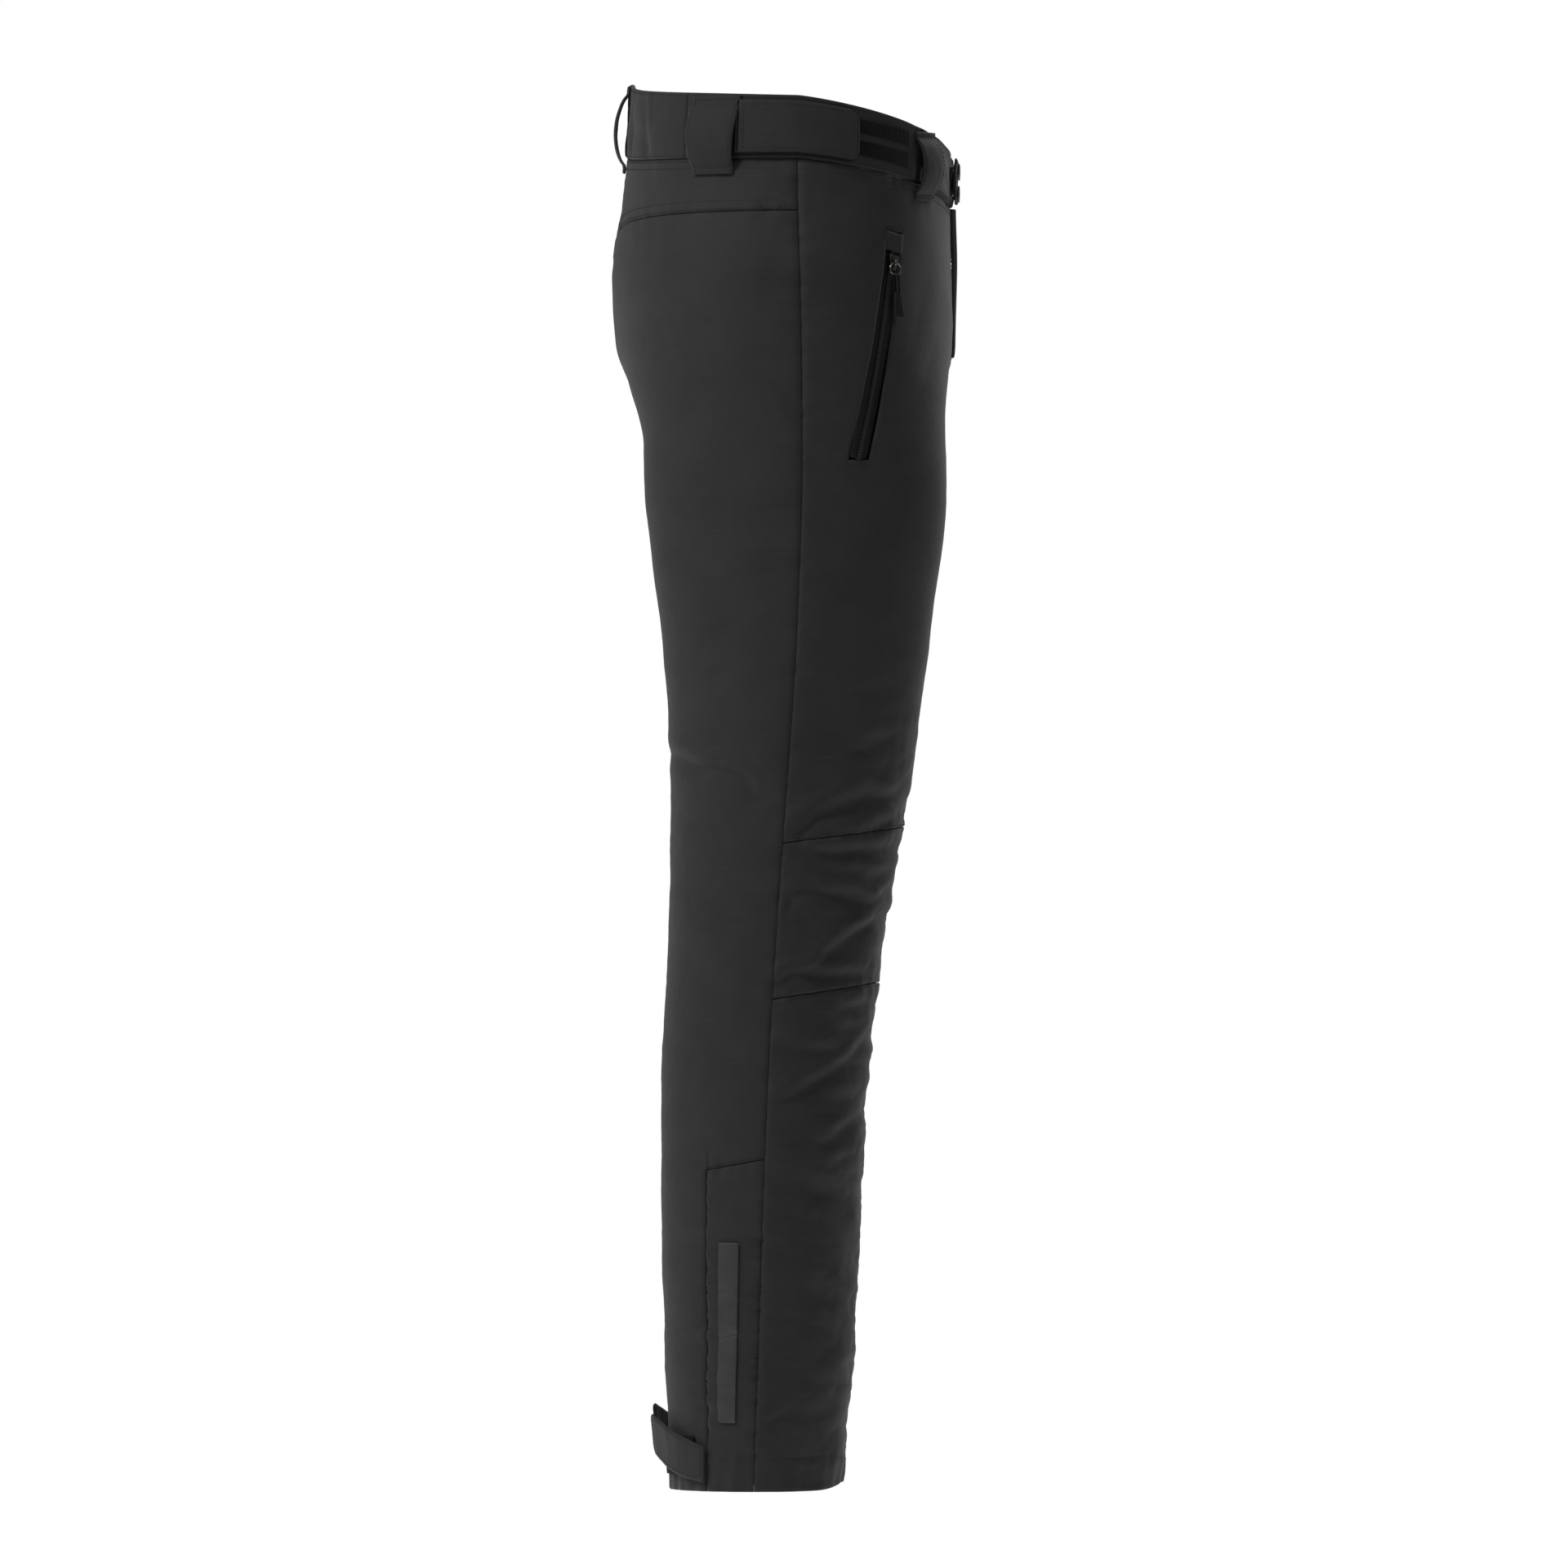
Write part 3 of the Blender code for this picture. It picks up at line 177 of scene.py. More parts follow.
# ---- The garment's form ------------------------------------------------------------------------
@dataclass(frozen=True)
class Form:
    """The smooth outer face of the shell, from which every piece of cloth is set off.

    A leg row is height, seam forward, depth behind, depth before, half width, middle; a body row is
    height, seam forward, depth behind, depth before, half width, power of the outline.
    """

    leg_rows: tuple[tuple[float, ...], ...] = (
        (0.000, -0.023, 0.064, 0.069, 0.074, 0.118),
        (0.100, -0.020, 0.071, 0.074, 0.076, 0.117),
        (0.300, -0.013, 0.081, 0.076, 0.081, 0.113),
        (0.440, -0.005, 0.083, 0.085, 0.085, 0.110),
        (0.550, 0.003, 0.090, 0.096, 0.090, 0.107),
        (0.660, 0.010, 0.1045, 0.103, 0.094, 0.103),
        (0.795, 0.0138, 0.128, 0.1165, 0.097, 0.0995),
        (0.850, 0.0135, 0.136, 0.119, 0.097, 0.0995),
        (1.080, 0.0100, 0.128, 0.115, 0.097, 0.0995),
    )
    body_rows: tuple[tuple[float, ...], ...] = (
        (0.000, 0.0138, 0.124, 0.112, 0.1965, 0.84),
        (0.795, 0.0138, 0.124, 0.112, 0.1965, 0.84),
        (0.850, 0.0135, 0.1400, 0.1170, 0.1975, 0.88),
        (0.930, 0.0120, 0.1450, 0.1175, 0.1980, 0.92),
        (1.000, 0.0100, 0.1330, 0.1180, 0.1820, 0.94),
        (1.080, 0.0100, 0.1280, 0.1210, 0.1720, 0.95),
    )
    crotch: float = 0.795
    crotch_rise: float = 0.085
    merge_below: float = 0.100
    merge_above: float = 0.110

    @staticmethod
    def _rows_at(rows: tuple[tuple[float, ...], ...], z: Array) -> list[Array]:
        """The values of every column at the heights z, on a monotone smooth curve."""
        table = np.array(rows)
        heights = table[:, 0]
        z = np.clip(z, heights[0], heights[-1])
        k = np.clip(np.searchsorted(heights, z, side="right") - 1, 0, len(heights) - 2)
        h = heights[k + 1] - heights[k]
        u = (z - heights[k]) / h
        values = []
        for column in table[:, 1:].T:
            rise = np.diff(column) / np.diff(heights)
            slope = np.zeros(len(column))
            for i in range(1, len(column) - 1):
                a, b = rise[i - 1], rise[i]
                slope[i] = 0.0 if a * b <= 0 else 2 * a * b / (a + b)
            m, n = slope[k] * h, slope[k + 1] * h
            values.append(
                (2 * u**3 - 3 * u**2 + 1) * column[k] + (u**3 - 2 * u**2 + u) * m
                + (3 * u**2 - 2 * u**3) * column[k + 1] + (u**3 - u**2) * n
            )
        return values

    @staticmethod
    def body_turn(t: Array) -> Array:
        """The angle round the body, in radians, at fraction t."""
        return np.pi / 2 * (t + 0.6 * np.sin(np.pi * t) / np.pi)

    def point(self, side: Array | int, t: Array, z: Array) -> Array:
        """The points of the form, in the frame's own coordinates."""
        side, t, z = np.broadcast_arrays(side, np.asarray(t, float), np.asarray(z, float))
        seam, behind, before, half, middle = self._rows_at(self.leg_rows, z)
        leg_x = middle + half * np.cos(np.pi * t)
        leg_f = seam + np.where(t >= 0, before, behind) * np.sin(np.pi * t)
        seam, behind, before, half, power = self._rows_at(self.body_rows, z)
        turn = self.body_turn(t)
        body_x = half * np.maximum(np.cos(turn), 0.0) ** power
        reach = np.abs(np.sin(turn)) ** power
        body_f = seam + np.where(t >= 0, before, -behind) * reach
        u = np.clip((z - self.crotch) / self.crotch_rise, 0.0, 1.0)
        centre = np.sqrt(1 - (1 - u) ** 2)
        outside = eased(self.crotch - self.merge_below, self.crotch + self.merge_above, z)
        share = outside + (centre - outside) * eased(0.45, 1.0, np.abs(t))
        x = (1 - share) * leg_x + share * body_x
        f = (1 - share) * leg_f + share * body_f
        return np.stack([side * x, -f, z - WAIST_HEIGHT], axis=-1)

    def normal(self, side: Array | int, t: Array, z: Array) -> Array:
        """The horizontal directions that point out of the shell."""
        step = 0.002
        along = self.point(side, np.minimum(t + step, 1.0), z) - self.point(side, np.maximum(t - step, -1.0), z)
        out = np.stack([-along[..., 1], along[..., 0], np.zeros(along.shape[:-1])], axis=-1)
        return unit(out * np.asarray(side)[..., None])

    def scale(self, side: Array | int, t: Array, z: Array) -> Array:
        """Metres along the cloth for a step of 1 in t."""
        step = 0.004
        high, low = np.minimum(t + step, 1.0), np.maximum(t - step, -1.0)
        apart = np.linalg.norm(self.point(side, high, z) - self.point(side, low, z), axis=-1)
        return apart / (high - low)

    def solve(self, wanted: Callable[[Array], Array], low: float, high: float, shape: tuple[int, ...]) -> Array:
        """The t where an increasing test first holds, by halving.

        Args:
            wanted: a test of t that turns from False to True between low and high.
            low: the least t.
            high: the most t.
            shape: the shape of the answer.

        Returns:
            The fractions t.
        """
        lows, highs = np.full(shape, low), np.full(shape, high)
        for _ in range(36):
            mid = (lows + highs) / 2
            past = wanted(mid)
            lows, highs = np.where(past, lows, mid), np.where(past, mid, highs)
        return (lows + highs) / 2

    def at_forward(self, f: Array, z: Array) -> Array:
        """The t between side seam and front where the shell is f forward of the middle."""
        f, z = np.broadcast_arrays(np.asarray(f, float), np.asarray(z, float))
        most = 0.5 if float(np.max(z)) < self.crotch else 1.0
        return self.solve(lambda t: -self.point(1, t, z)[..., 1] >= f, 0.0, most, f.shape)

    def at_across(self, x: Array, z: Array) -> Array:
        """The t on the front whose point is x from the centre."""
        x, z = np.broadcast_arrays(np.abs(np.asarray(x, float)), np.asarray(z, float))
        return self.solve(lambda t: self.point(1, t, z)[..., 0] <= x, 0.5, 1.0, x.shape)

    def at_angle(self, degrees: float) -> float:
        """The t of an angle round the body, counted from the side seam."""
        found = self.solve(lambda t: np.degrees(self.body_turn(t)) >= degrees, -1.0, 1.0, (1,))
        return float(found[0])


FORM = Form()


class Seams:
    """The heights of the seams that run round the garment, as the pattern cuts them."""

    GUSSET_T = 34.0 / 180.0
    GAP = 0.0002
    FLY_BOTTOM, FLY_TOP, FLY_HALF = 0.866, 0.979, 0.009
    FRONT_DROP_POWER = 1.15

    @classmethod
    def _band(cls, t: Array, back: float, side: float, front: float, power: float = 2.0) -> Array:
        """A height that runs smoothly from the centre back to the centre front."""
        t = np.asarray(t, float)
        ahead = np.clip(t, 0.0, 1.0)
        behind = side + (back - side) * np.abs(t) ** power
        before = side + (front - side) * np.sin(np.pi * ahead / 2) ** cls.FRONT_DROP_POWER
        return np.where(t <= 0, behind, before)

    @classmethod
    def band(cls, t: Array) -> Array:
        """The waistband's seam."""
        return cls._band(t, 1.0235, 1.017, 0.984)

    @classmethod
    def band_top(cls, t: Array) -> Array:
        """The waistband's top edge."""
        return cls._band(t, 1.080, 1.0655, 1.022, 1.2)

    @staticmethod
    def yoke(t: Array) -> Array:
        """The yoke's lower seam."""
        return 0.977 - 0.016 * np.asarray(t, float) ** 2

    @staticmethod
    def knee_top(t: Array) -> Array:
        """The seam above the knee panel."""
        return 0.4945 + 0.012 * np.sin(np.pi * np.asarray(t, float))

    @staticmethod
    def knee_bottom(t: Array) -> Array:
        """The seam below the knee panel."""
        return 0.3756 + 0.012 * np.sin(np.pi * np.asarray(t, float))

    @classmethod
    def gusset_top(cls, t: Array) -> Array:
        """The top of the lower leg gusset."""
        return 0.2535 - 0.0085 * np.clip(-np.asarray(t, float) / cls.GUSSET_T, 0.0, 1.0)


def level(z: float) -> Line:
    """A line round the garment at one height."""
    return lambda t: np.full(np.shape(t), z)


def offset(line: Line, by: float) -> Line:
    """A line moved up by a distance."""
    return lambda t: line(t) + by


# ---- Folds, gathers and puckers ----------------------------------------------------------------
@dataclass(frozen=True)
class Fold:
    """A crease that cloth falls into: the line of its valley, its depth and how wide it opens.

    Points are (forward, height) in millimetres; depth and width too.
    """

    points: tuple[tuple[float, float], ...]
    depth: float
    width: float

    def moved(self, draw: np.random.Generator, spread: float) -> "Fold":
        """A like fold a little elsewhere, for the other leg.

        Args:
            draw: the seeded source of the differences.
            spread: the most that it moves up or down, in millimetres.

        Returns:
            The fold.
        """
        up, ahead = draw.uniform(-spread, spread), draw.uniform(-0.4, 0.4) * spread
        tilt = draw.uniform(-0.12, 0.12)
        middle = sum(p[0] for p in self.points) / len(self.points)
        points = tuple((f + ahead, z + up + tilt * (f - middle)) for f, z in self.points)
        return Fold(points, self.depth * draw.uniform(0.6, 1.05), self.width * draw.uniform(0.85, 1.3))

    def relief(self, f: Array, z: Array) -> Array:
        """How far the cloth moves out, in metres.

        Args:
            f: forward positions in millimetres.
            z: heights in millimetres.

        Returns:
            The relief, negative in the valley and positive on the rolls beside it.
        """
        reach = 6 * self.width + 4
        points = np.array(self.points)
        low, high = points.min(0) - reach, points.max(0) + reach
        near = (f > low[0]) & (f < high[0]) & (z > low[1]) & (z < high[1])
        out = np.zeros(f.shape)
        if not near.any():
            return out
        x, y = f[near], z[near]
        lengths = np.linalg.norm(np.diff(points, axis=0), axis=1)
        total, before = lengths.sum(), 0.0
        best, above, along = np.full(x.shape, 1e9), np.zeros(x.shape), np.zeros(x.shape)
        for a, b, length in zip(points[:-1], points[1:], lengths):
            way = (b - a) / length
            at = np.clip((x - a[0]) * way[0] + (y - a[1]) * way[1], 0, length)
            px, py = x - a[0] - at * way[0], y - a[1] - at * way[1]
            gap = np.hypot(px, py)
            closer = gap < best
            best = np.where(closer, gap, best)
            above = np.where(closer, np.sign(way[0] * py - way[1] * px), above)
            along = np.where(closer, (before + at) / total, along)
            before += length
        s = best * above / self.width
        taper = np.sin(np.pi * np.clip(along * 0.92 + 0.04, 0, 1)) ** 0.65
        valley = -np.exp(-np.abs(s) ** 1.25 * np.where(s > 0, 1.25, 0.8))
        rolls = 0.75 * np.exp(-((s - 2.1) / 1.3) ** 2) + 0.40 * np.exp(-((s + 2.6) / 1.7) ** 2)
        out[near] = (valley + rolls) * taper * self.depth * MM
        return out


# The folds that the worn shape sets, strongest at the bent knee
LEG_FOLDS = (
    Fold(((-92, 566), (-75, 557), (-63, 551), (-50, 552), (-39, 548), (-29, 542), (-23, 531), (-17, 528),
          (-9, 532)), 2.6, 4.2),
    Fold(((-30, 560), (-20, 551), (-12, 545)), 0.9, 4.0),
    Fold(((-84, 600), (-60, 612), (-38, 636)), 1.2, 13.0),
    Fold(((-78, 640), (-52, 650), (-30, 676)), 0.9, 14.0),
    Fold(((-88, 520), (-66, 508), (-40, 500)), 0.8, 9.0),
    Fold(((44, 560), (62, 566), (88, 577)), 1.3, 5.0),
    Fold(((14, 555), (32, 557), (52, 555)), 1.1, 3.0),
    Fold(((2, 492), (10, 502), (26, 514), (47, 524), (66, 530), (100, 526)), 3.6, 5.5),
    Fold(((58, 501), (76, 509), (98, 520)), 1.7, 4.5),
    Fold(((10, 489), (40, 486), (60, 488), (86, 491)), 2.5, 3.6),
    Fold(((0, 476), (8, 471), (21, 467)), 1.4, 3.2),
    Fold(((60, 467), (72, 470), (86, 476)), 1.3, 3.4),
    Fold(((2, 455), (12, 457.5), (34, 456), (50, 454), (63, 449), (77, 438)), 3.4, 4.4),
    Fold(((1, 436), (3, 444), (7, 454)), 1.5, 2.6),
    Fold(((64, 446), (72, 452), (86, 464)), 1.5, 3.2),
    Fold(((20, 396), (32, 406), (43, 416), (58, 427), (82, 441)), 3.2, 4.4),
    Fold(((-3, 431), (6, 434), (16, 437)), 1.2, 3.0),
    Fold(((-8, 383), (0, 391), (8, 395.5), (34, 392.5), (66, 393)), 3.2, 3.8),
    Fold(((40, 367), (54, 370), (70, 374)), 1.4, 3.4),
    Fold(((-4, 341), (18, 337), (44, 335)), 1.1, 4.6),
    Fold(((-6, 293), (2, 299), (13, 305), (31, 315.5), (43, 323), (70, 327)), 2.7, 4.6),
    Fold(((46, 326), (56, 335), (68, 348)), 2.1, 3.8),
    Fold(((36, 268), (50, 279), (66, 294)), 1.8, 4.2),
    Fold(((-8, 262), (12, 266), (26, 264), (46, 268)), 1.4, 5.0),
    Fold(((28, 243), (38, 249), (52, 258)), 1.1, 4.2),
    Fold(((-6, 226), (10, 231), (26, 228), (46, 231)), 1.4, 6.0),
    Fold(((-8, 205), (2, 209), (10, 214)), 0.9, 3.0),
    Fold(((-22, 44), (-12, 52), (-2, 57), (10, 59)), 1.6, 4.2),
    Fold(((-20, 62), (-13, 66), (-7, 70)), 0.9, 3.0),
    Fold(((20, 150), (36, 143), (52, 133)), 1.0, 9.0),
    Fold(((14, 108), (30, 112), (50, 106)), 0.8, 9.0),
    Fold(((-84, 300), (-60, 306), (-40, 302)), 0.5, 9.0),
    Fold(((-90, 460), (-70, 470), (-46, 474)), 0.6, 9.0),
)
# Soft pulls of the thigh and the seat, which run down and forward from the fly and the pocket
THIGH_FOLDS = (
    Fold(((110, 930), (104, 900), (96, 868)), 0.8, 7.0),
    Fold(((122, 900), (114, 868), (104, 836)), 0.9, 7.5),
    Fold(((50, 800), (76, 782), (104, 772)), 0.7, 9.0),
    Fold(((16, 764), (28, 763), (40, 767)), 0.7, 3.2),
    Fold(((40, 752), (52, 756), (66, 754)), 0.6, 3.4),
    Fold(((20, 712), (52, 702), (92, 706)), 0.6, 10.0),
    Fold(((30, 652), (58, 648), (92, 656)), 0.7, 9.0),
    Fold(((10, 612), (40, 606), (84, 612)), 0.8, 8.0),
    Fold(((-96, 742), (-62, 728), (-30, 732)), 0.6, 12.0),
    Fold(((-108, 800), (-84, 812), (-60, 836)), 0.7, 14.0),
)


class Relief:
    """How far the shell's cloth lies off the smooth form at each place."""

    INNER_LIMIT = -3.2 * MM
    OUTER_LIMIT = 5.0 * MM

    def __init__(self) -> None:
        """Draws the noise and the other leg's folds."""
        self.broad = GradientNoise(11)
        self.fine = GradientNoise(23)
        self.pucker = GradientNoise(37)
        draw = np.random.default_rng(5)
        shared = LEG_FOLDS + THIGH_FOLDS
        self.folds = {
            Side.RIGHT.value: shared,
            Side.LEFT.value: tuple(fold.moved(draw, 9.0) for fold in shared),
        }

    def seam_lines(self, side: Array | int, t: Array, z: Array) -> list[tuple[Array, Array]]:
        """Distance to each seam and the place along it, for the seams that pass near.

        Args:
            side: the sign of x.
            t: fractions round the leg.
            z: heights.

        Returns:
            Pairs of distance and place along the seam, in metres.
        """
        scale = FORM.scale(side, t, z)
        far = 1.0
        gusset = Seams.GUSSET_T
        top = Seams.gusset_top(t)
        return [
            (np.where(z < Seams.band(0.0), np.abs(t) * scale, far), z),
            (np.where(z < top, np.abs(t + gusset) * scale, far), z + 3.0),
            ((1 - np.abs(t)) * scale, z + 7.0),
            (np.where((t < 0) & (t > -gusset), np.abs(z - top), far), t * scale + 1.0),
            (np.where(t > 0, np.abs(z - Seams.knee_top(t)), far), t * scale + 2.0),
            (np.where(t > 0, np.abs(z - Seams.knee_bottom(t)), far), t * scale + 4.0),
            (np.where(t < 0, np.abs(z - Seams.yoke(t)), far), t * scale + 5.0),
            (np.abs(z - Seams.band(t)), t * scale + 6.0),
        ]

    def __call__(self, side: Array | int, t: Array, z: Array) -> Array:
        """The relief of the shell at each place, in metres."""
        side, t, z = np.broadcast_arrays(side, np.asarray(t, float), np.asarray(z, float))
        place = FORM.point(side, t, z)
        f = -place[..., 1]
        out = np.zeros(t.shape)
        lean = 22 * MM * eased(0.50, 0.95, np.abs(t)) * np.where(t > 0, 1.0, -0.6)
        for value, folds in self.folds.items():
            chosen = side == value
            if not chosen.any():
                continue
            total = np.zeros(t.shape)
            for fold in folds:
                total += fold.relief(f / MM, (z + lean) / MM)
            out += np.where(chosen, total, 0.0)
        out += self.drape(place, t, z)
        out += self.sewing(side, t, z)
        # The cloth lies flat and a little inward where a pocket's pull hangs when its zip is open
        hollow = np.exp(-((f - 0.054) / 0.034) ** 4 - ((z - 0.766) / 0.046) ** 4) * (t > 0)
        out = out * (1 - 0.85 * hollow) - 1.6 * MM * hollow
        # The two legs' cloth meets cleanly where the crotch seam curves under
        meet = eased(0.955, 0.99, np.abs(t)) * eased(0.775, 0.795, z) * (1 - eased(0.90, 0.93, z))
        out = out * (1 - meet) + 0.35 * MM * meet
        over_bag = (t > 0.04) & (t < 0.5) & (z > 0.72) & (z < 0.975)
        least = np.where(over_bag, -2.4 * MM, self.INNER_LIMIT)
        return np.clip(out, least, self.OUTER_LIMIT)

    def drape(self, place: Array, t: Array, z: Array) -> Array:
        """Broad waves and small crumples, strongest on the shin and the knee."""
        x, y = place[..., 0], place[..., 1]
        front = eased(-0.05, 0.10, t)
        low = 1 - eased(0.52, 0.66, z)
        strength = 0.35 + 0.55 * front * low + 0.15 * low
        broad = self.broad(x / 0.075, y / 0.075, z / 0.036) * 2.8 * MM * strength
        mid = self.broad(x / 0.034 + 9, y / 0.034, z / 0.0145) * 1.9 * MM * (0.16 + front * low)
        ridged = 1 - np.abs(self.fine(x / 0.030, y / 0.030, z / 0.0125)) * 3.2
        crumple = np.clip(ridged, 0, 1) ** 2 * 0.9 * MM * (0.06 + 0.75 * front * low)
        small = self.fine(x / 0.011, y / 0.011, z / 0.0065) * 0.40 * MM * (0.2 + 0.6 * low)
        crotch = bump(0.80, 0.05, z) * eased(0.62, 0.95, np.abs(t))
        pull = self.fine(x / 0.03, y / 0.03, z / 0.010 + x / 0.012) * 1.6 * MM * crotch
        return broad + mid - crumple + small + pull

    def sewing(self, side: Array | int, t: Array, z: Array) -> Array:
        """The valley of each seam, its puckers, and the doubled cloth of the hem."""
        out = np.zeros(t.shape)
        for distance, along in self.seam_lines(side, t, z):
            out -= 1.0 * MM * np.exp(-distance / (1.1 * MM))
            wave = self.pucker(along / (8.5 * MM), distance / (22 * MM), 0.5)
            out += wave * 3.0 * MM * np.exp(-distance / (9 * MM))
        out += self.gusset_creases(side, t, z)
        fold = z < 0.0255
        hem = np.where(fold, 0.55 * MM, 0.0) * eased(0.0, 0.002, np.abs(z - 0.0255))
        stitch = -0.45 * MM * np.exp(-np.abs(z - 0.0245) / (0.8 * MM))
        around = t * FORM.scale(side, t, z)
        ruck = self.pucker(around / (11 * MM), z / (40 * MM), 5.5) * 2.6 * MM * (1 - eased(0.018, 0.045, z))
        return out + hem + stitch + ruck

    def gusset_creases(self, side: Array | int, t: Array, z: Array) -> Array:
        """Short sharp creases across the gusset's edges, where its folded pleat bunches the cloth."""
        across = t * FORM.scale(side, t, z)
        edge = -Seams.GUSSET_T * FORM.scale(side, t, z)
        inside = np.where((across < 2 * MM) & (across > edge - 12 * MM), 1.0, 0.0)
        near_front = np.exp(-np.clip(-across, 0, 1) / (9 * MM))
        near_back = np.exp(-np.abs(across - edge) / (8 * MM))
        lean = self.fine(across / (26 * MM), z / (55 * MM), 2.5) * 6 * MM
        crease = np.abs(self.pucker((z + lean) / (9 * MM), across / (40 * MM), 8.5)) * 5.5
        height = eased(0.028, 0.05, z) * (1 - eased(0.185, 0.215, z))
        return -np.clip(1 - crease, 0, 1) ** 2 * 1.9 * MM * inside * height * np.maximum(near_front, near_back)


RELIEF = Relief()


# ---- Cloth -------------------------------------------------------------------------------------
@dataclass
class Lattice:
    """A grid over the garment whose lines follow the pattern's edges.

    Attributes:
        t: fraction at each row and column.
        z: height at each row and column.
        keep: which cells are cloth.
    """

    t: Array
    z: Array
    keep: Array

    @staticmethod
    def _steps(length: float, step: float, edge: float) -> Array:
        """Fractions of one stretch, with a narrow step at both ends for a turned edge."""
        count = max(1, int(round(length / step)))
        share = min(edge / length, 0.3)
        return np.concatenate([[0.0], np.linspace(share, 1 - share, count + 1), [1.0]])

    @classmethod
    def _shares(cls, ends: list[float], scale: float, step: float, edge: float) -> tuple[Array, Array]:
        """Each grid line's stretch and its share of that stretch, for stretches between ends."""
        stretch, share = [], []
        for i, (a, b) in enumerate(zip(ends[:-1], ends[1:])):
            parts = cls._steps(abs(b - a) * scale, step, edge)
            stretch += [i] * (len(parts) - 1)
            share += list(parts[:-1])
        return np.array(stretch + [len(ends) - 2]), np.array(share + [1.0])

    @classmethod
    def over(cls, side: Side, columns: Sequence[Line], rows: Sequence[Line], step: float = 3.0 * MM,
             holes: Iterable[tuple[int, int]] = (), real: tuple[float, float] | None = None) -> "Lattice":
        """Lays the grid between lines.

        Args:
            side: the leg.
            columns: lines that run up, as t at each height.
            rows: lines that run round, as height at each t.
            step: the usual cell size.
            holes: (column stretch, row stretch) pairs that are not cloth.
            real: width and height, for a piece whose own place says where t and z are.

        Returns:
            The lattice.
        """
        edge = 0.7 * MM
        z_mid = float(np.mean([value_at(line, 0.5) for line in rows]))
        ends = [value_at(line, z_mid) for line in columns]
        centre = float(np.mean(ends))
        heights = [value_at(line, centre) for line in rows]
        if real:
            wide, tall = real[0] / abs(ends[-1] - ends[0]), real[1] / abs(heights[-1] - heights[0])
        else:
            wide, tall = float(FORM.scale(side.value, np.array([centre]), np.array([z_mid]))[0]), 1.0
        column_of, column_share = cls._shares(ends, wide, step, edge)
        row_of, row_share = cls._shares(heights, tall, step, edge)
        t = np.interp(column_of + column_share, np.arange(len(ends)), ends)[None, :]
        t = np.repeat(t, len(row_of), axis=0)
        z = np.zeros_like(t)
        index, grid = np.arange(t.shape[1])[None, :], np.arange(t.shape[0])[:, None]
        for _ in range(4):
            lines = np.stack([line(t) for line in rows])
            low, high = lines[row_of[:, None], grid, index], lines[row_of[:, None] + 1, grid, index]
            z = low + (high - low) * row_share[:, None]
            lines = np.stack([line(z) for line in columns])
            low, high = lines[column_of[None, :], grid, index], lines[column_of[None, :] + 1, grid, index]
            t = low + (high - low) * column_share[None, :]
        keep = np.ones((t.shape[0] - 1, t.shape[1] - 1), bool)
        for column, row in holes:
            keep &= ~((row_of[:-1, None] == row) & (column_of[None, :-1] == column))
        return cls(t, z, keep)


def grid_object(name: str, outer: Array, inner: Array, keep: Array, uv: Array, flip: bool) -> bpy.types.Object:
    """Makes a thin closed piece from two facing grids of points.

    Args:
        name: the piece's name.
        outer: rows x columns x 3 points of the face that is seen.
        inner: the same for the other face.
        keep: which cells are cloth.
        uv: rows x columns x 2 places on the flat cloth, in metres.
        flip: whether the grid's own order faces inwards.

    Returns:
        The object, with its place in its mesh.
    """
    rows, columns = outer.shape[:2]
    index = np.arange(rows * columns).reshape(rows, columns)
    padded = np.pad(keep, 1)
    around = [padded[a:a + rows, b:b + columns] for a in (0, 1) for b in (0, 1)]
    used = np.any(around, axis=0)
    edge = used & ~np.all(around, axis=0)
    # A turned edge is rounded: both faces come together a little at the rim
    draw_in = edge[..., None] * 0.30 * (inner - outer)
    outer, inner = outer + draw_in, inner - draw_in
    a, b, c, d = index[:-1, :-1], index[:-1, 1:], index[1:, 1:], index[1:, :-1]
    front = np.stack([a, b, c, d], axis=-1)[keep]
    count = rows * columns
    rims = []
    below, left = padded[:-2, 1:-1], padded[1:-1, :-2]
    above, right = padded[2:, 1:-1], padded[1:-1, 2:]
    for gone, start, end in ((below, a, b), (right, b, c), (above, c, d), (left, d, a)):
        which = keep & ~gone
        rims.append(np.stack([end[which], start[which], start[which] + count, end[which] + count], axis=-1))
    faces = np.concatenate([front, front[:, ::-1] + count, *rims])
    if flip:
        faces = faces[:, ::-1]
    points = np.concatenate([outer.reshape(-1, 3), inner.reshape(-1, 3)])
    flat = np.concatenate([uv.reshape(-1, 2)] * 2)
    present, faces = np.unique(faces, return_inverse=True)
    faces = faces.reshape(-1, 4)
    points, flat = points[present], flat[present]
    mesh = bpy.data.meshes.new(name)
    mesh.from_pydata(points.tolist(), [], faces.tolist())
    layer = mesh.uv_layers.new(name="cloth")
    layer.data.foreach_set("uv", flat[faces.ravel()].astype(np.float32).ravel())
    mesh.polygons.foreach_set("use_smooth", np.ones(len(faces), bool))
    mesh.update()
    return link(bpy.data.objects.new(name, mesh))


Place = Callable[[Array, Array], tuple[Array, Array]]


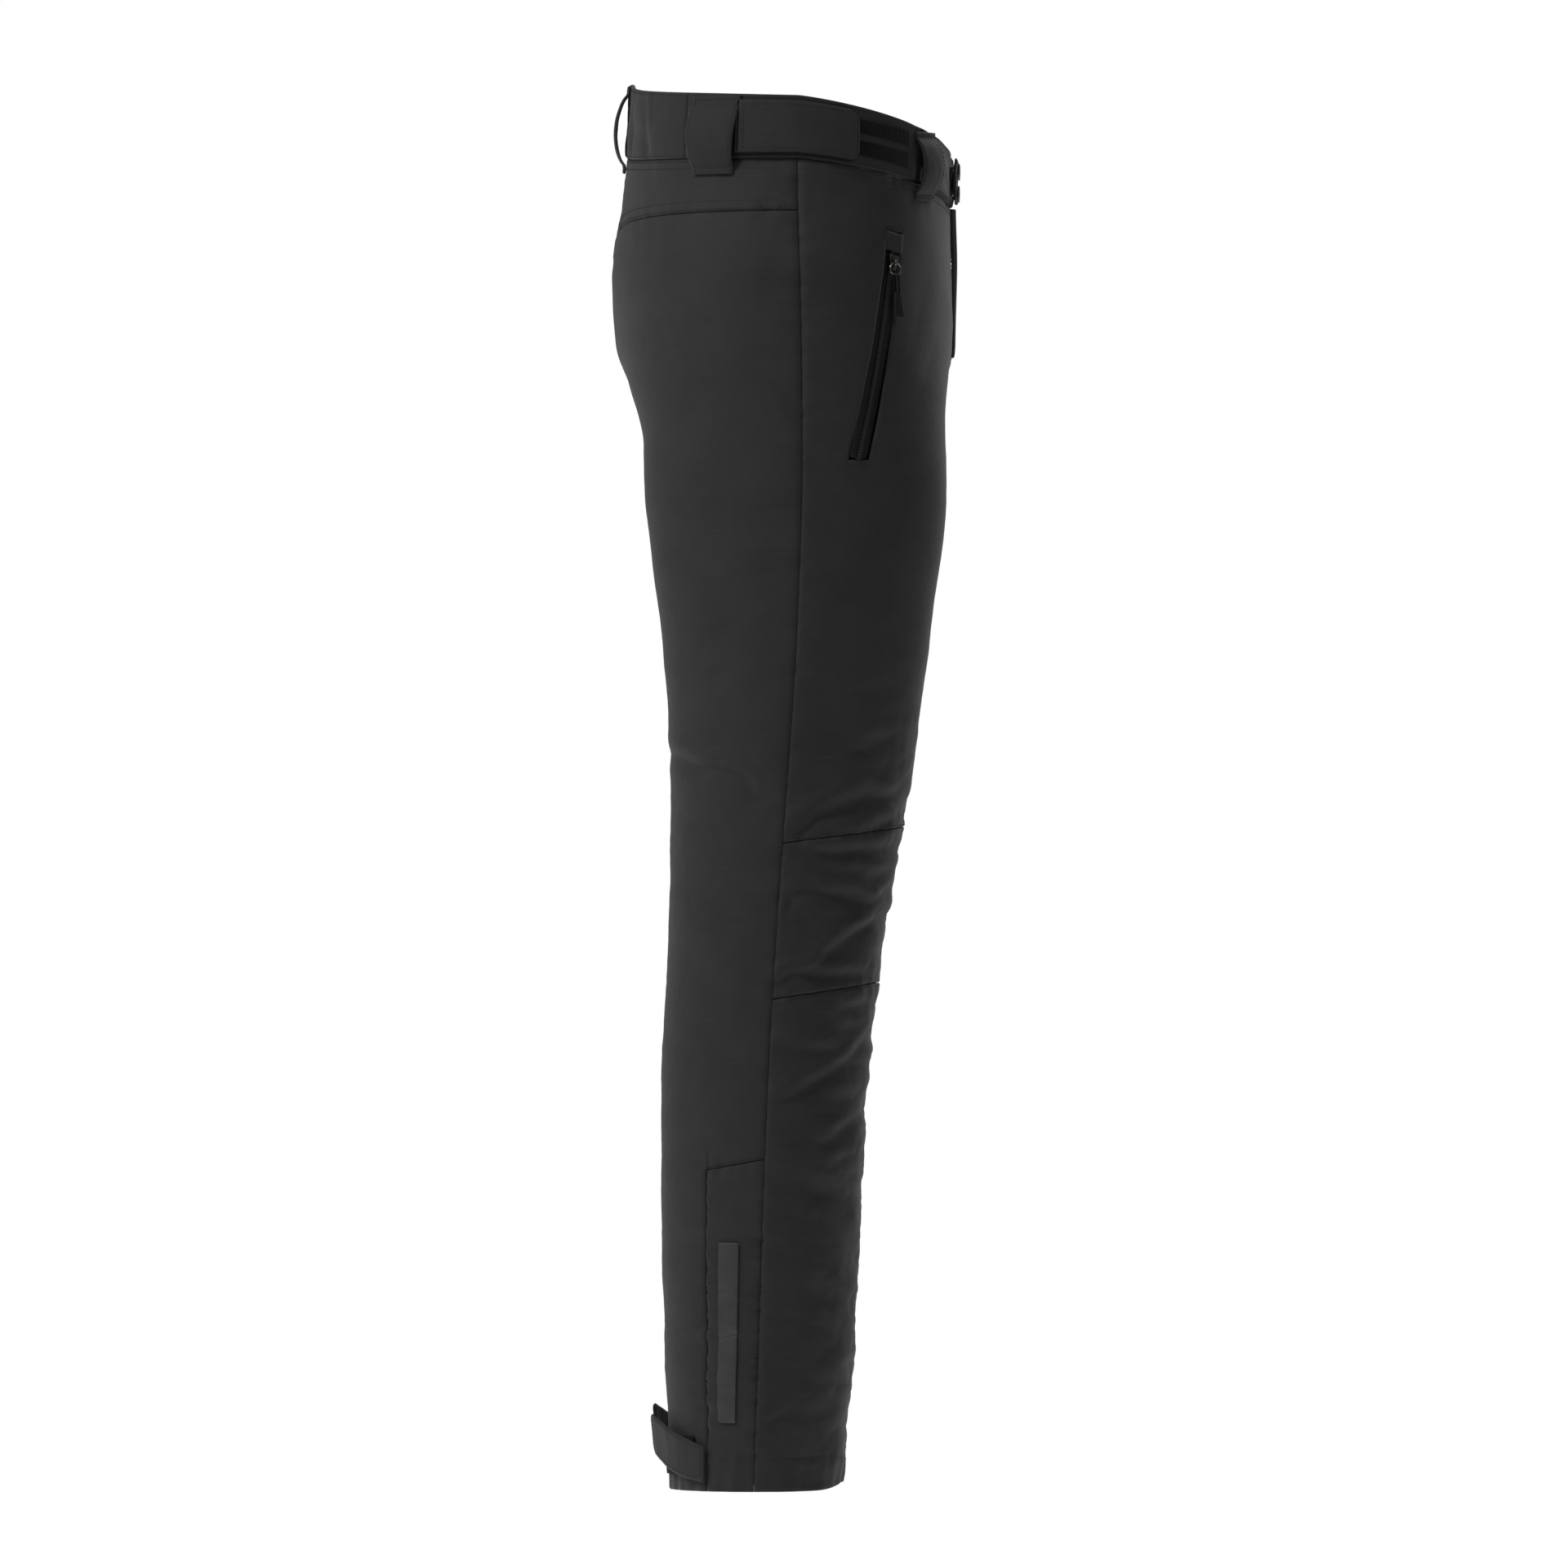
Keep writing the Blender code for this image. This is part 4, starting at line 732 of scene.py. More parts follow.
@dataclass
class Cloth:
    """One cut piece of cloth, sewn into the garment."""

    name: str
    side: Side
    columns: Sequence[Line]
    rows: Sequence[Line]
    thick: float
    finish: "Finish"
    replaces: tuple[str, ...] = ()
    body: str = "pants"
    out: float = 0.0
    step: float = 3.0 * MM
    holes: tuple[tuple[int, int], ...] = ()
    relief: Callable[[int, Array, Array], Array] | None = None
    held: str = "stretched"
    rests_on: tuple[str, ...] = ()
    pad: float | None = None
    place: Place | None = None
    real: tuple[float, float] | None = None
    bears: tuple[str, ...] = ()
    sewn_on: bool = False

    def flat_size(self, points: Array, keep: Array) -> tuple[float, float, float]:
        """Width, length and area of the cut, from the smooth form."""
        across = np.linalg.norm(np.diff(points, axis=1), axis=-1)
        up = np.linalg.norm(np.diff(points, axis=0), axis=-1)
        whole = across * np.pad(keep, ((0, 1), (0, 0)), mode="edge")
        a = points[1:, 1:] - points[:-1, :-1]
        b = points[1:, :-1] - points[:-1, 1:]
        area = float((np.linalg.norm(np.cross(a, b), axis=-1) / 2 * keep).sum())
        width, length = float(whole.sum(axis=1).max()), float(up.sum(axis=0).max())
        return width, max(length, area / width), area

    def build(self) -> bpy.types.Object:
        grid = Lattice.over(self.side, self.columns, self.rows, self.step, holes=self.holes, real=self.real)
        if self.place is None:
            base = FORM.point(self.side.value, grid.t, grid.z)
            normal = FORM.normal(self.side.value, grid.t, grid.z)
        else:
            base, normal = self.place(grid.t, grid.z)
        lift = self.relief(self.side.value, grid.t, grid.z) if self.relief else np.zeros(grid.t.shape)
        outer = base + normal * (self.out + lift)[..., None]
        inner = base + normal * (self.out + lift - self.thick)[..., None]
        steps = np.linalg.norm(np.diff(base, axis=1), axis=-1)
        along = np.concatenate([np.zeros((len(base), 1)), np.cumsum(steps, axis=1)], axis=1)
        zero = np.argmin(np.abs(grid.t), axis=1)
        along -= along[np.arange(len(along)), zero][:, None]
        uv = np.stack([along, base[..., 2]], axis=-1)
        piece = grid_object(self.name, outer, inner, grid.keep, uv, self.side is Side.LEFT)
        dress(piece, self.finish, self.body, self.replaces)
        width, length, area = self.flat_size(base, grid.keep)
        if self.pad is not None:
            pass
        elif not self.sewn_on:
            list(self.rests_on)
            list(self.bears)
        LOG.info("%s: %d faces, cut %.0f x %.0f mm", self.name, len(piece.data.polygons), width * 1e3, length * 1e3)
        return piece


def dress(piece: bpy.types.Object, finish: "Finish", body: str = "pants", replaces: Sequence[str] = ()) -> None:
    """Gives a finished piece its material, its body and the nodes it stands for.

    Args:
        piece: the piece.
        finish: its finish, which knows its slot.
        body: the body it rides on.
        replaces: CAD nodes that it stands for.
    """
    piece.data.materials.clear()
    piece.data.materials.append(finish.material())
    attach(piece, body)
    if replaces:
        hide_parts(*replaces)


# ---- Finishes ----------------------------------------------------------------------------------
# Painted shade: the near-black colour given to the hollows between tufts and ribs, standing in for the little light
# that comes back from them
PAINTED_HOLLOW_SHADE = "060606"


def plug(tree: bpy.types.NodeTree, node: bpy.types.Node, **links: object) -> None:
    """Links or sets a node's inputs.

    Args:
        tree: the nodes that it is one of.
        node: the node.
        links: input name, with _ for a space or a number with n before it, to a socket or a value.
    """
    for name, value in links.items():
        numbered = name[0] == "n" and name[1:].isdigit()
        socket = node.inputs[int(name[1:]) if numbered else name.replace("_", " ")]
        if isinstance(value, bpy.types.NodeSocket):
            tree.links.new(value, socket)
        else:
            socket.default_value = value


def add(tree: bpy.types.NodeTree, kind: str, settings: dict | None = None, **links: object) -> bpy.types.Node:
    """Adds a shader node.

    Args:
        tree: the material's or the world's nodes.
        kind: the node's type.
        settings: attributes to set on it.
        links: its inputs, as plug takes them.

    Returns:
        The node.
    """
    node = tree.nodes.new(kind)
    for name, value in (settings or {}).items():
        setattr(node, name, value)
    plug(tree, node, **links)
    return node


def blend(tree: bpy.types.NodeTree, factor: bpy.types.NodeSocket, low: str, high: str) -> bpy.types.NodeSocket:
    """The colour between two hex colours."""
    kind = {"data_type": "RGBA"}
    return add(tree, "ShaderNodeMix", kind, Factor=factor, n6=linear(low), n7=linear(high)).outputs[2]


def raised(tree: bpy.types.NodeTree, strength: float, depth: float, height: bpy.types.NodeSocket,
           **links: object) -> bpy.types.NodeSocket:
    """The normal of a surface with small relief."""
    node = add(tree, "ShaderNodeBump", None, Strength=strength, Distance=depth, Height=height, **links)
    return node.outputs["Normal"]


@dataclass(frozen=True)
class Finish:
    """A material, made once and shared by every piece that has it, and the name of its slot."""

    name: str
    slot: str
    colour: str
    roughness: float = 0.6

    def material(self) -> bpy.types.Material:
        """The material, made the first time that it is asked for."""
        found = bpy.data.materials.get(self.name)
        if found:
            return found
        made = bpy.data.materials.new(self.name)
        made.use_nodes = True
        made.diffuse_color = linear(self.colour)
        tree = made.node_tree
        shader = tree.nodes["Principled BSDF"]
        shader.inputs["Base Color"].default_value = linear(self.colour)
        shader.inputs["Roughness"].default_value = self.roughness
        self.dress(tree, shader)
        return made

    def dress(self, tree: bpy.types.NodeTree, shader: bpy.types.Node) -> None:
        """Adds the finish's own nodes."""


@dataclass(frozen=True)
class WovenCloth(Finish):
    """Polyester plain weave with a matt coating: dull, with a faint sheen and thread streaks.

    Threads are about 0.25 mm apart on the real cloth, too fine to show, so they are drawn coarser.
    """

    pale: str = "3a3a3a"
    thread: float = 0.9 * MM
    weave_depth: float = 0.07 * MM
    crinkle: float = 9.0 * MM
    crinkle_depth: float = 0.30 * MM
    sheen: float = 0.25
    specular: float = 0.35

    def dress(self, tree: bpy.types.NodeTree, shader: bpy.types.Node) -> None:
        """Adds the weave, the streaks, the mottling and the small crinkles."""
        place = add(tree, "ShaderNodeTexCoord")
        flat, solid = place.outputs["UV"], place.outputs["Object"]
        # A wave's period is 0.314 over its scale
        waves = [
            add(tree, "ShaderNodeTexWave", {"bands_direction": way}, Vector=flat, Scale=0.314 / (2 * self.thread),
                Distortion=0.6, Detail=1.0, Detail_Scale=2.0)
            for way in ("X", "Y")
        ]
        cell = add(tree, "ShaderNodeTexChecker", None, Vector=flat, Scale=1 / self.thread)
        weave = add(tree, "ShaderNodeMix", None, Factor=cell.outputs["Fac"], n2=waves[0].outputs["Fac"],
                    n3=waves[1].outputs["Fac"])
        mapped = add(tree, "ShaderNodeMapping", None, Vector=flat, Scale=(22.0, 620.0, 1.0))
        streak = add(tree, "ShaderNodeTexNoise", None, Vector=mapped.outputs["Vector"], Scale=1.0, Detail=3.0)
        mottle = add(tree, "ShaderNodeTexNoise", None, Vector=solid, Scale=26.0, Detail=5.0, Roughness=0.62)
        shade = add(tree, "ShaderNodeMath", {"operation": "MULTIPLY_ADD"}, n0=streak.outputs["Fac"], n1=0.3,
                    n2=mottle.outputs["Fac"])
        tone = add(tree, "ShaderNodeMapRange", None, Value=shade.outputs["Value"], n1=0.35, n2=0.95)
        mix = blend(tree, tone.outputs["Result"], self.colour, self.pale)
        dull = add(tree, "ShaderNodeMapRange", None, Value=mottle.outputs["Fac"], n1=0.3, n2=0.7,
                   n3=self.roughness - 0.07, n4=self.roughness + 0.07)
        crinkle = add(tree, "ShaderNodeTexNoise", None, Vector=solid, Scale=1 / self.crinkle, Detail=4.0,
                      Roughness=0.55, Distortion=0.35)
        first = raised(tree, 0.8, self.crinkle_depth, crinkle.outputs["Fac"])
        second = raised(tree, 0.7, self.weave_depth, weave.outputs["Result"], Normal=first)
        plug(tree, shader, Base_Color=mix, Roughness=dull.outputs["Result"], Normal=second,
             Sheen_Weight=self.sheen, Sheen_Roughness=0.45, Specular_IOR_Level=self.specular)


@dataclass(frozen=True)
class BrushedLoop(Finish):
    """Brushed nylon loop: a dense mat of tiny loops, which drinks the light."""

    def dress(self, tree: bpy.types.NodeTree, shader: bpy.types.Node) -> None:
        """Adds the mat."""
        solid = add(tree, "ShaderNodeTexCoord").outputs["Object"]
        mat = add(tree, "ShaderNodeTexNoise", None, Vector=solid, Scale=1 / (1.1 * MM), Detail=3.0, Roughness=0.7)
        tufts = add(tree, "ShaderNodeTexVoronoi", None, Vector=solid, Scale=1 / (1.6 * MM))
        depth = add(tree, "ShaderNodeMath", {"operation": "ADD"}, n0=mat.outputs["Fac"], n1=tufts.outputs["Distance"])
        # Painted shade: the mat is darkened towards near black where it is low, in the hollows between its tufts
        tone = blend(tree, mat.outputs["Fac"], PAINTED_HOLLOW_SHADE, self.colour)
        relief = raised(tree, 1.0, 0.5 * MM, depth.outputs["Value"])
        plug(tree, shader, Base_Color=tone, Normal=relief, Sheen_Weight=0.15, Specular_IOR_Level=0.2)


@dataclass(frozen=True)
class ReflectiveFilm(Finish):
    """Glass-bead film on a cloth base: a flat dark silver with a fine grain of beads."""

    def dress(self, tree: bpy.types.NodeTree, shader: bpy.types.Node) -> None:
        """Adds the beads and the cells that they are sealed in."""
        place = add(tree, "ShaderNodeTexCoord")
        beads = add(tree, "ShaderNodeTexVoronoi", None, Vector=place.outputs["UV"], Scale=1 / (0.8 * MM))
        worn = add(tree, "ShaderNodeTexNoise", None, Vector=place.outputs["Object"], Scale=70.0, Detail=4.0)
        tone = blend(tree, worn.outputs["Fac"], self.colour, "535353")
        relief = raised(tree, 0.35, 0.08 * MM, beads.outputs["Distance"])
        plug(tree, shader, Base_Color=tone, Normal=relief, Metallic=0.15)


@dataclass(frozen=True)
class RibbedTape(Finish):
    """Woven zip tape: fine ribs that run along it."""

    def dress(self, tree: bpy.types.NodeTree, shader: bpy.types.Node) -> None:
        """Adds the ribs."""
        place = add(tree, "ShaderNodeTexCoord")
        ribs = add(tree, "ShaderNodeTexWave", {"bands_direction": "X"}, Vector=place.outputs["UV"],
                   Scale=0.314 / (1.1 * MM), Distortion=0.4, Detail=2.0)
        weft = add(tree, "ShaderNodeTexWave", {"bands_direction": "Y"}, Vector=place.outputs["UV"],
                   Scale=0.314 / (0.8 * MM))
        both = add(tree, "ShaderNodeMath", {"operation": "MULTIPLY"}, n0=ribs.outputs["Fac"], n1=weft.outputs["Fac"])
        # Painted shade: the grooves between the ribs, where their relief is low, are darkened towards near black
        tone = blend(tree, both.outputs["Value"], PAINTED_HOLLOW_SHADE, self.colour)
        relief = raised(tree, 0.8, 0.15 * MM, both.outputs["Value"])
        plug(tree, shader, Base_Color=tone, Normal=relief)


@dataclass(frozen=True)
class Moulded(Finish):
    """Moulded nylon, rubber or spun thread: an even colour with a fine grain."""

    grain: float = 0.7 * MM
    grain_depth: float = 0.03 * MM

    def dress(self, tree: bpy.types.NodeTree, shader: bpy.types.Node) -> None:
        """Adds the grain and a little variation of the gloss."""
        solid = add(tree, "ShaderNodeTexCoord").outputs["Object"]
        grain = add(tree, "ShaderNodeTexNoise", None, Vector=solid, Scale=1 / self.grain, Detail=2.0)
        rough = add(tree, "ShaderNodeMapRange", None, Value=grain.outputs["Fac"], n3=self.roughness - 0.08,
                    n4=self.roughness + 0.08)
        relief = raised(tree, 0.6, self.grain_depth, grain.outputs["Fac"])
        plug(tree, shader, Roughness=rough.outputs["Result"], Normal=relief)


@dataclass(frozen=True)
class PlatedMetal(Finish):
    """Nickel plate over die-cast zinc: bright, with hairline rub marks that spread its highlights."""

    def dress(self, tree: bpy.types.NodeTree, shader: bpy.types.Node) -> None:
        """Adds the rub marks and a faint tarnish."""
        solid = add(tree, "ShaderNodeTexCoord").outputs["Object"]
        mapped = add(tree, "ShaderNodeMapping", None, Vector=solid, Scale=(900.0, 900.0, 160.0))
        rub = add(tree, "ShaderNodeTexNoise", None, Vector=mapped.outputs["Vector"], Scale=1.0, Detail=3.0)
        rough = add(tree, "ShaderNodeMapRange", None, Value=rub.outputs["Fac"], n3=self.roughness - 0.06,
                    n4=self.roughness + 0.10)
        dim = add(tree, "ShaderNodeTexNoise", None, Vector=solid, Scale=240.0, Detail=2.0)
        tone = blend(tree, dim.outputs["Fac"], self.colour, "8e8c88")
        plug(tree, shader, Base_Color=tone, Roughness=rough.outputs["Result"], Metallic=1.0)


@dataclass(frozen=True)
class Finishes:
    """Every finish of the garment, named for its material."""

    shell: WovenCloth = WovenCloth("matt_coated_polyester_weave", "shell_fabric", "2b2b2b", 0.74, pale="3b3b3b")
    band: WovenCloth = WovenCloth("matt_polyester_waistband_weave", "waistband_fabric", "292929", 0.76, pale="383838",
                                  crinkle=7.0 * MM, crinkle_depth=0.22 * MM)
    lining: WovenCloth = WovenCloth("quilted_polyester_taffeta", "quilted_lining", "161618", 0.5, pale="202023",
                                    thread=0.6 * MM, crinkle=14.0 * MM, sheen=0.1, specular=0.5)
    gaiter: WovenCloth = WovenCloth("coated_nylon_gaiter_taffeta", "gaiter_fabric", "131314", 0.48, pale="1d1d1f",
                                    thread=0.6 * MM, crinkle=10.0 * MM, sheen=0.05, specular=0.5)
    loop: BrushedLoop = BrushedLoop("brushed_nylon_loop", "loop_tape", "171717", 0.95)
    film: ReflectiveFilm = ReflectiveFilm("glass_bead_reflective_film", "reflective_tape", "404040", 0.5)
    tape: RibbedTape = RibbedTape("woven_zip_tape", "zip_tape", "242424", 0.8)
    coil: Moulded = Moulded("nylon_zip_coil", "zip_tape", "303030", 0.42)
    thread: Moulded = Moulded("polyester_sewing_thread", "shell_fabric", "303030", 0.65, grain=0.35 * MM)
    rubber: Moulded = Moulded("moulded_rubber", "moulded_rubber", "1a1a1a", 0.55)
    cord: Moulded = Moulded("braided_nylon_cord", "moulded_rubber", "111111", 0.7, grain=0.5 * MM,
                            grain_depth=0.12 * MM)
    dark_metal: PlatedMetal = PlatedMetal("black_nickel_plated_zinc", "plated_steel", "2a2a2c", 0.35)
    metal: PlatedMetal = PlatedMetal("nickel_plated_zinc", "plated_steel", "9c9b98", 0.28)


FINISH = Finishes()


# ---- Sewn details ------------------------------------------------------------------------------
def capsules(name: str, starts: Array, ends: Array, radius: float, lift: Array | None = None) -> bpy.types.Object:
    """Many short round-ended rods in one mesh, as stitches or the turns of a zip's coil.

    Args:
        name: the piece's name.
        starts: n x 3 points.
        ends: n x 3 points.
        radius: the rods' radius.
        lift: n x 3 offsets of the middle, which arches each rod.

    Returns:
        The object.
    """
    way = ends - starts
    length = np.linalg.norm(way, axis=1, keepdims=True)
    way = way / np.maximum(length, 1e-9)
    helper = np.where(np.abs(way[:, 2:3]) < 0.9, np.array([[0.0, 0.0, 1.0]]), np.array([[1.0, 0.0, 0.0]]))
    across = unit(np.cross(way, helper))
    other = np.cross(way, across)
    stations = ((0.0, 0.45, 0.0), (0.12, 1.0, 0.6), (0.5, 1.0, 1.0), (0.88, 1.0, 0.6), (1.0, 0.45, 0.0))
    sides = 6
    angles = np.arange(sides) * 2 * np.pi / sides
    rings = []
    for share, size, arch in stations:
        centre = starts + way * length * share + (0 if lift is None else lift * arch)
        ring = centre[:, None, :] + radius * size * (
            np.cos(angles)[None, :, None] * across[:, None, :] + np.sin(angles)[None, :, None] * other[:, None, :]
        )
        rings.append(ring)
    points = np.stack(rings, axis=1).reshape(-1, 3)
    base = np.arange(len(starts))[:, None] * sides * len(stations)
    quads = []
    for ring in range(len(stations) - 1):
        for k in range(sides):
            a, b = ring * sides + k, ring * sides + (k + 1) % sides
            quads.append(np.stack([base[:, 0] + corner for corner in (a, b, b + sides, a + sides)], -1))
    faces = np.concatenate(quads).tolist()
    last = (len(stations) - 1) * sides
    for start in base[:, 0]:
        faces.append([int(start + k) for k in reversed(range(sides))])
        faces.append([int(start + last + k) for k in range(sides)])
    mesh = bpy.data.meshes.new(name)
    mesh.from_pydata(points.tolist(), [], faces)
    work = bmesh.new()
    work.from_mesh(mesh)
    bmesh.ops.recalc_face_normals(work, faces=work.faces)
    work.to_mesh(mesh)
    work.free()
    mesh.polygons.foreach_set("use_smooth", np.ones(len(mesh.polygons), bool))
    return link(bpy.data.objects.new(name, mesh))


@dataclass
class Stitching:
    """Rows of topstitching that share one mesh, sewn with one thread."""

    name: str
    body: str = "pants"
    pitch: float = 3.4 * MM
    length: float = 2.6 * MM
    radius: float = 0.27 * MM
    runs: list[tuple[Array, Array]] = field(default_factory=list)

    def along(self, points: Array, normals: Array) -> None:
        """Adds a run of stitches.

        Args:
            points: n x 3 places on the cloth, close together.
            normals: n x 3 directions out of the cloth.
        """
        gaps = np.linalg.norm(np.diff(points, axis=0), axis=1)
        far = np.concatenate([[0.0], np.cumsum(gaps)])
        count = max(1, int(far[-1] / self.pitch))
        starts = np.arange(count) * self.pitch + 0.3 * MM
        ends = np.minimum(starts + self.length, far[-1])

        def at(distance: Array, values: Array) -> Array:
            return np.stack([np.interp(distance, far, values[:, k]) for k in range(3)], axis=1)

        middle = unit(at((starts + ends) / 2, normals))
        self.runs.append((np.stack([at(starts, points), at(ends, points)]), middle))

    def on_shell(self, side: Side, t: Array, z: Array, out: float = 0.0, relief: Callable | None = None) -> None:
        """Adds a run over the shell, or over a piece set off from it.

        Args:
            side: the leg.
            t: fractions along the run.
            z: heights along the run.
            out: how far out the cloth's face is.
            relief: the relief of that cloth; the shell's if it is left out.
        """
        t, z = np.broadcast_arrays(np.asarray(t, float), np.asarray(z, float))
        lift = (relief or RELIEF)(side.value, t, z)
        normal = FORM.normal(side.value, t, z)
        self.along(FORM.point(side.value, t, z) + normal * (lift + out + SKIM)[:, None], normal)

    def on_piece(self, place: Place, relief: Callable, side: int, top: float, t: Array, z: Array) -> None:
        """Adds a run over a piece that has its own place.

        Args:
            place: where that piece lies.
            relief: its relief.
            side: the sign of x that its relief takes.
            top: how far out its face is.
            t: the run across it.
            z: the run up it.
        """
        t, z = np.broadcast_arrays(np.asarray(t, float), np.asarray(z, float))
        base, normal = place(t, z)
        self.along(base + normal * (top + relief(side, t, z) + SKIM)[:, None], normal)

    def build(self) -> bpy.types.Object:
        """Makes the stitches."""
        starts = np.concatenate([run[0][0] for run in self.runs])
        ends = np.concatenate([run[0][1] for run in self.runs])
        normal = np.concatenate([run[1] for run in self.runs])
        sunk = normal * 0.12 * MM
        piece = capsules(self.name, starts - sunk, ends - sunk, self.radius, normal * 0.14 * MM)
        dress(piece, FINISH.thread, self.body)
        LOG.info("%s: %d stitches", self.name, len(starts))
        return piece


# ---- Shell -------------------------------------------------------------------------------------
def held_line(z: Array, t: Array) -> Line:
    """A column line through known points, straight beyond them."""
    return lambda heights: np.interp(heights, z, t)


@dataclass
class Pocket:
    """The place of a hand pocket: its opening in the shell and the arc that its zip follows."""

    side: Side
    points: tuple[tuple[float, float], ...] = ((0.0832, 0.9440), (0.0725, 0.8620), (0.0585, 0.7900))
    width: float = 0.0170
    garage: float = 0.0170
    bottom: float = 0.7868
    top: float = 0.9611

    def middle_t(self, z: Array, shift: float) -> Array:
        """The t of a line beside the zip, that far forward over the cloth."""
        heights, ahead = [p[1] for p in self.points], [p[0] for p in self.points]
        curve = np.polyfit(heights, ahead, 2)
        f = np.polyval(curve, np.clip(z, self.bottom, self.top))
        t = FORM.at_forward(f, z)
        lean = np.cos(np.arctan(np.polyval(np.polyder(curve), z)))
        return t + shift / lean / FORM.scale(1, t, z)

    def edge_line(self, shift: float) -> Line:
        """A column line of the shell's grid along an edge of the opening."""
        z = np.linspace(self.bottom, self.top, 30)
        return held_line(z, self.middle_t(z, shift))

    def on_form(self, measure: Callable[..., Array], f: float, z: float) -> Vector:
        """The form's point or normal at a place that is f forward, at one height."""
        height = np.array([z])
        return Vector(measure(self.side.value, FORM.at_forward(np.array([f]), height), height)[0])

    @cached_property
    def on_arc(self) -> tuple[Vector, Vector, list[Vector]]:
        """Centre and axis of the zip's arc, and its three points."""
        places = [self.on_form(FORM.point, *place) for place in self.points]
        top, middle, bottom = places
        a, b = top - middle, bottom - middle
        normal = a.cross(b)
        lean = b * a.length_squared - a * b.length_squared
        centre = middle + lean.cross(normal) / (2 * normal.length_squared)
        return centre, normal.normalized(), places

    @cached_property
    def home(self) -> Matrix:
        """The frame at the middle of the zip: X across it, -Y out of the cloth, Z up along it."""
        centre, axis, (_, middle, _) = self.on_arc
        tangent = axis.cross(middle - centre).normalized()
        tangent = tangent if tangent.z > 0 else -tangent
        normal = self.on_form(FORM.normal, *self.points[1])
        normal = (normal - tangent * normal.dot(tangent)).normalized()
        turn = Matrix(((-normal).cross(tangent), -normal, tangent)).transposed().to_4x4()
        return Matrix.Translation(middle) @ turn

    def frame(self, angle: float) -> Matrix:
        """The same frame, moved along the zip by a turn about its arc's centre."""
        centre, axis, _ = self.on_arc
        spin = Matrix.Translation(centre) @ Matrix.Rotation(angle, 4, axis) @ Matrix.Translation(-centre)
        return spin @ self.home

    def span(self) -> tuple[float, float, float]:
        """The turns to the top and the bottom of the zip, and its radius."""
        centre, axis, places = self.on_arc
        arms = [place - centre for place in places]
        turns = [math.atan2(axis.dot(arms[1].cross(arm)), arms[1].dot(arm)) for arm in (arms[0], arms[2])]
        return turns[0], turns[1], arms[1].length


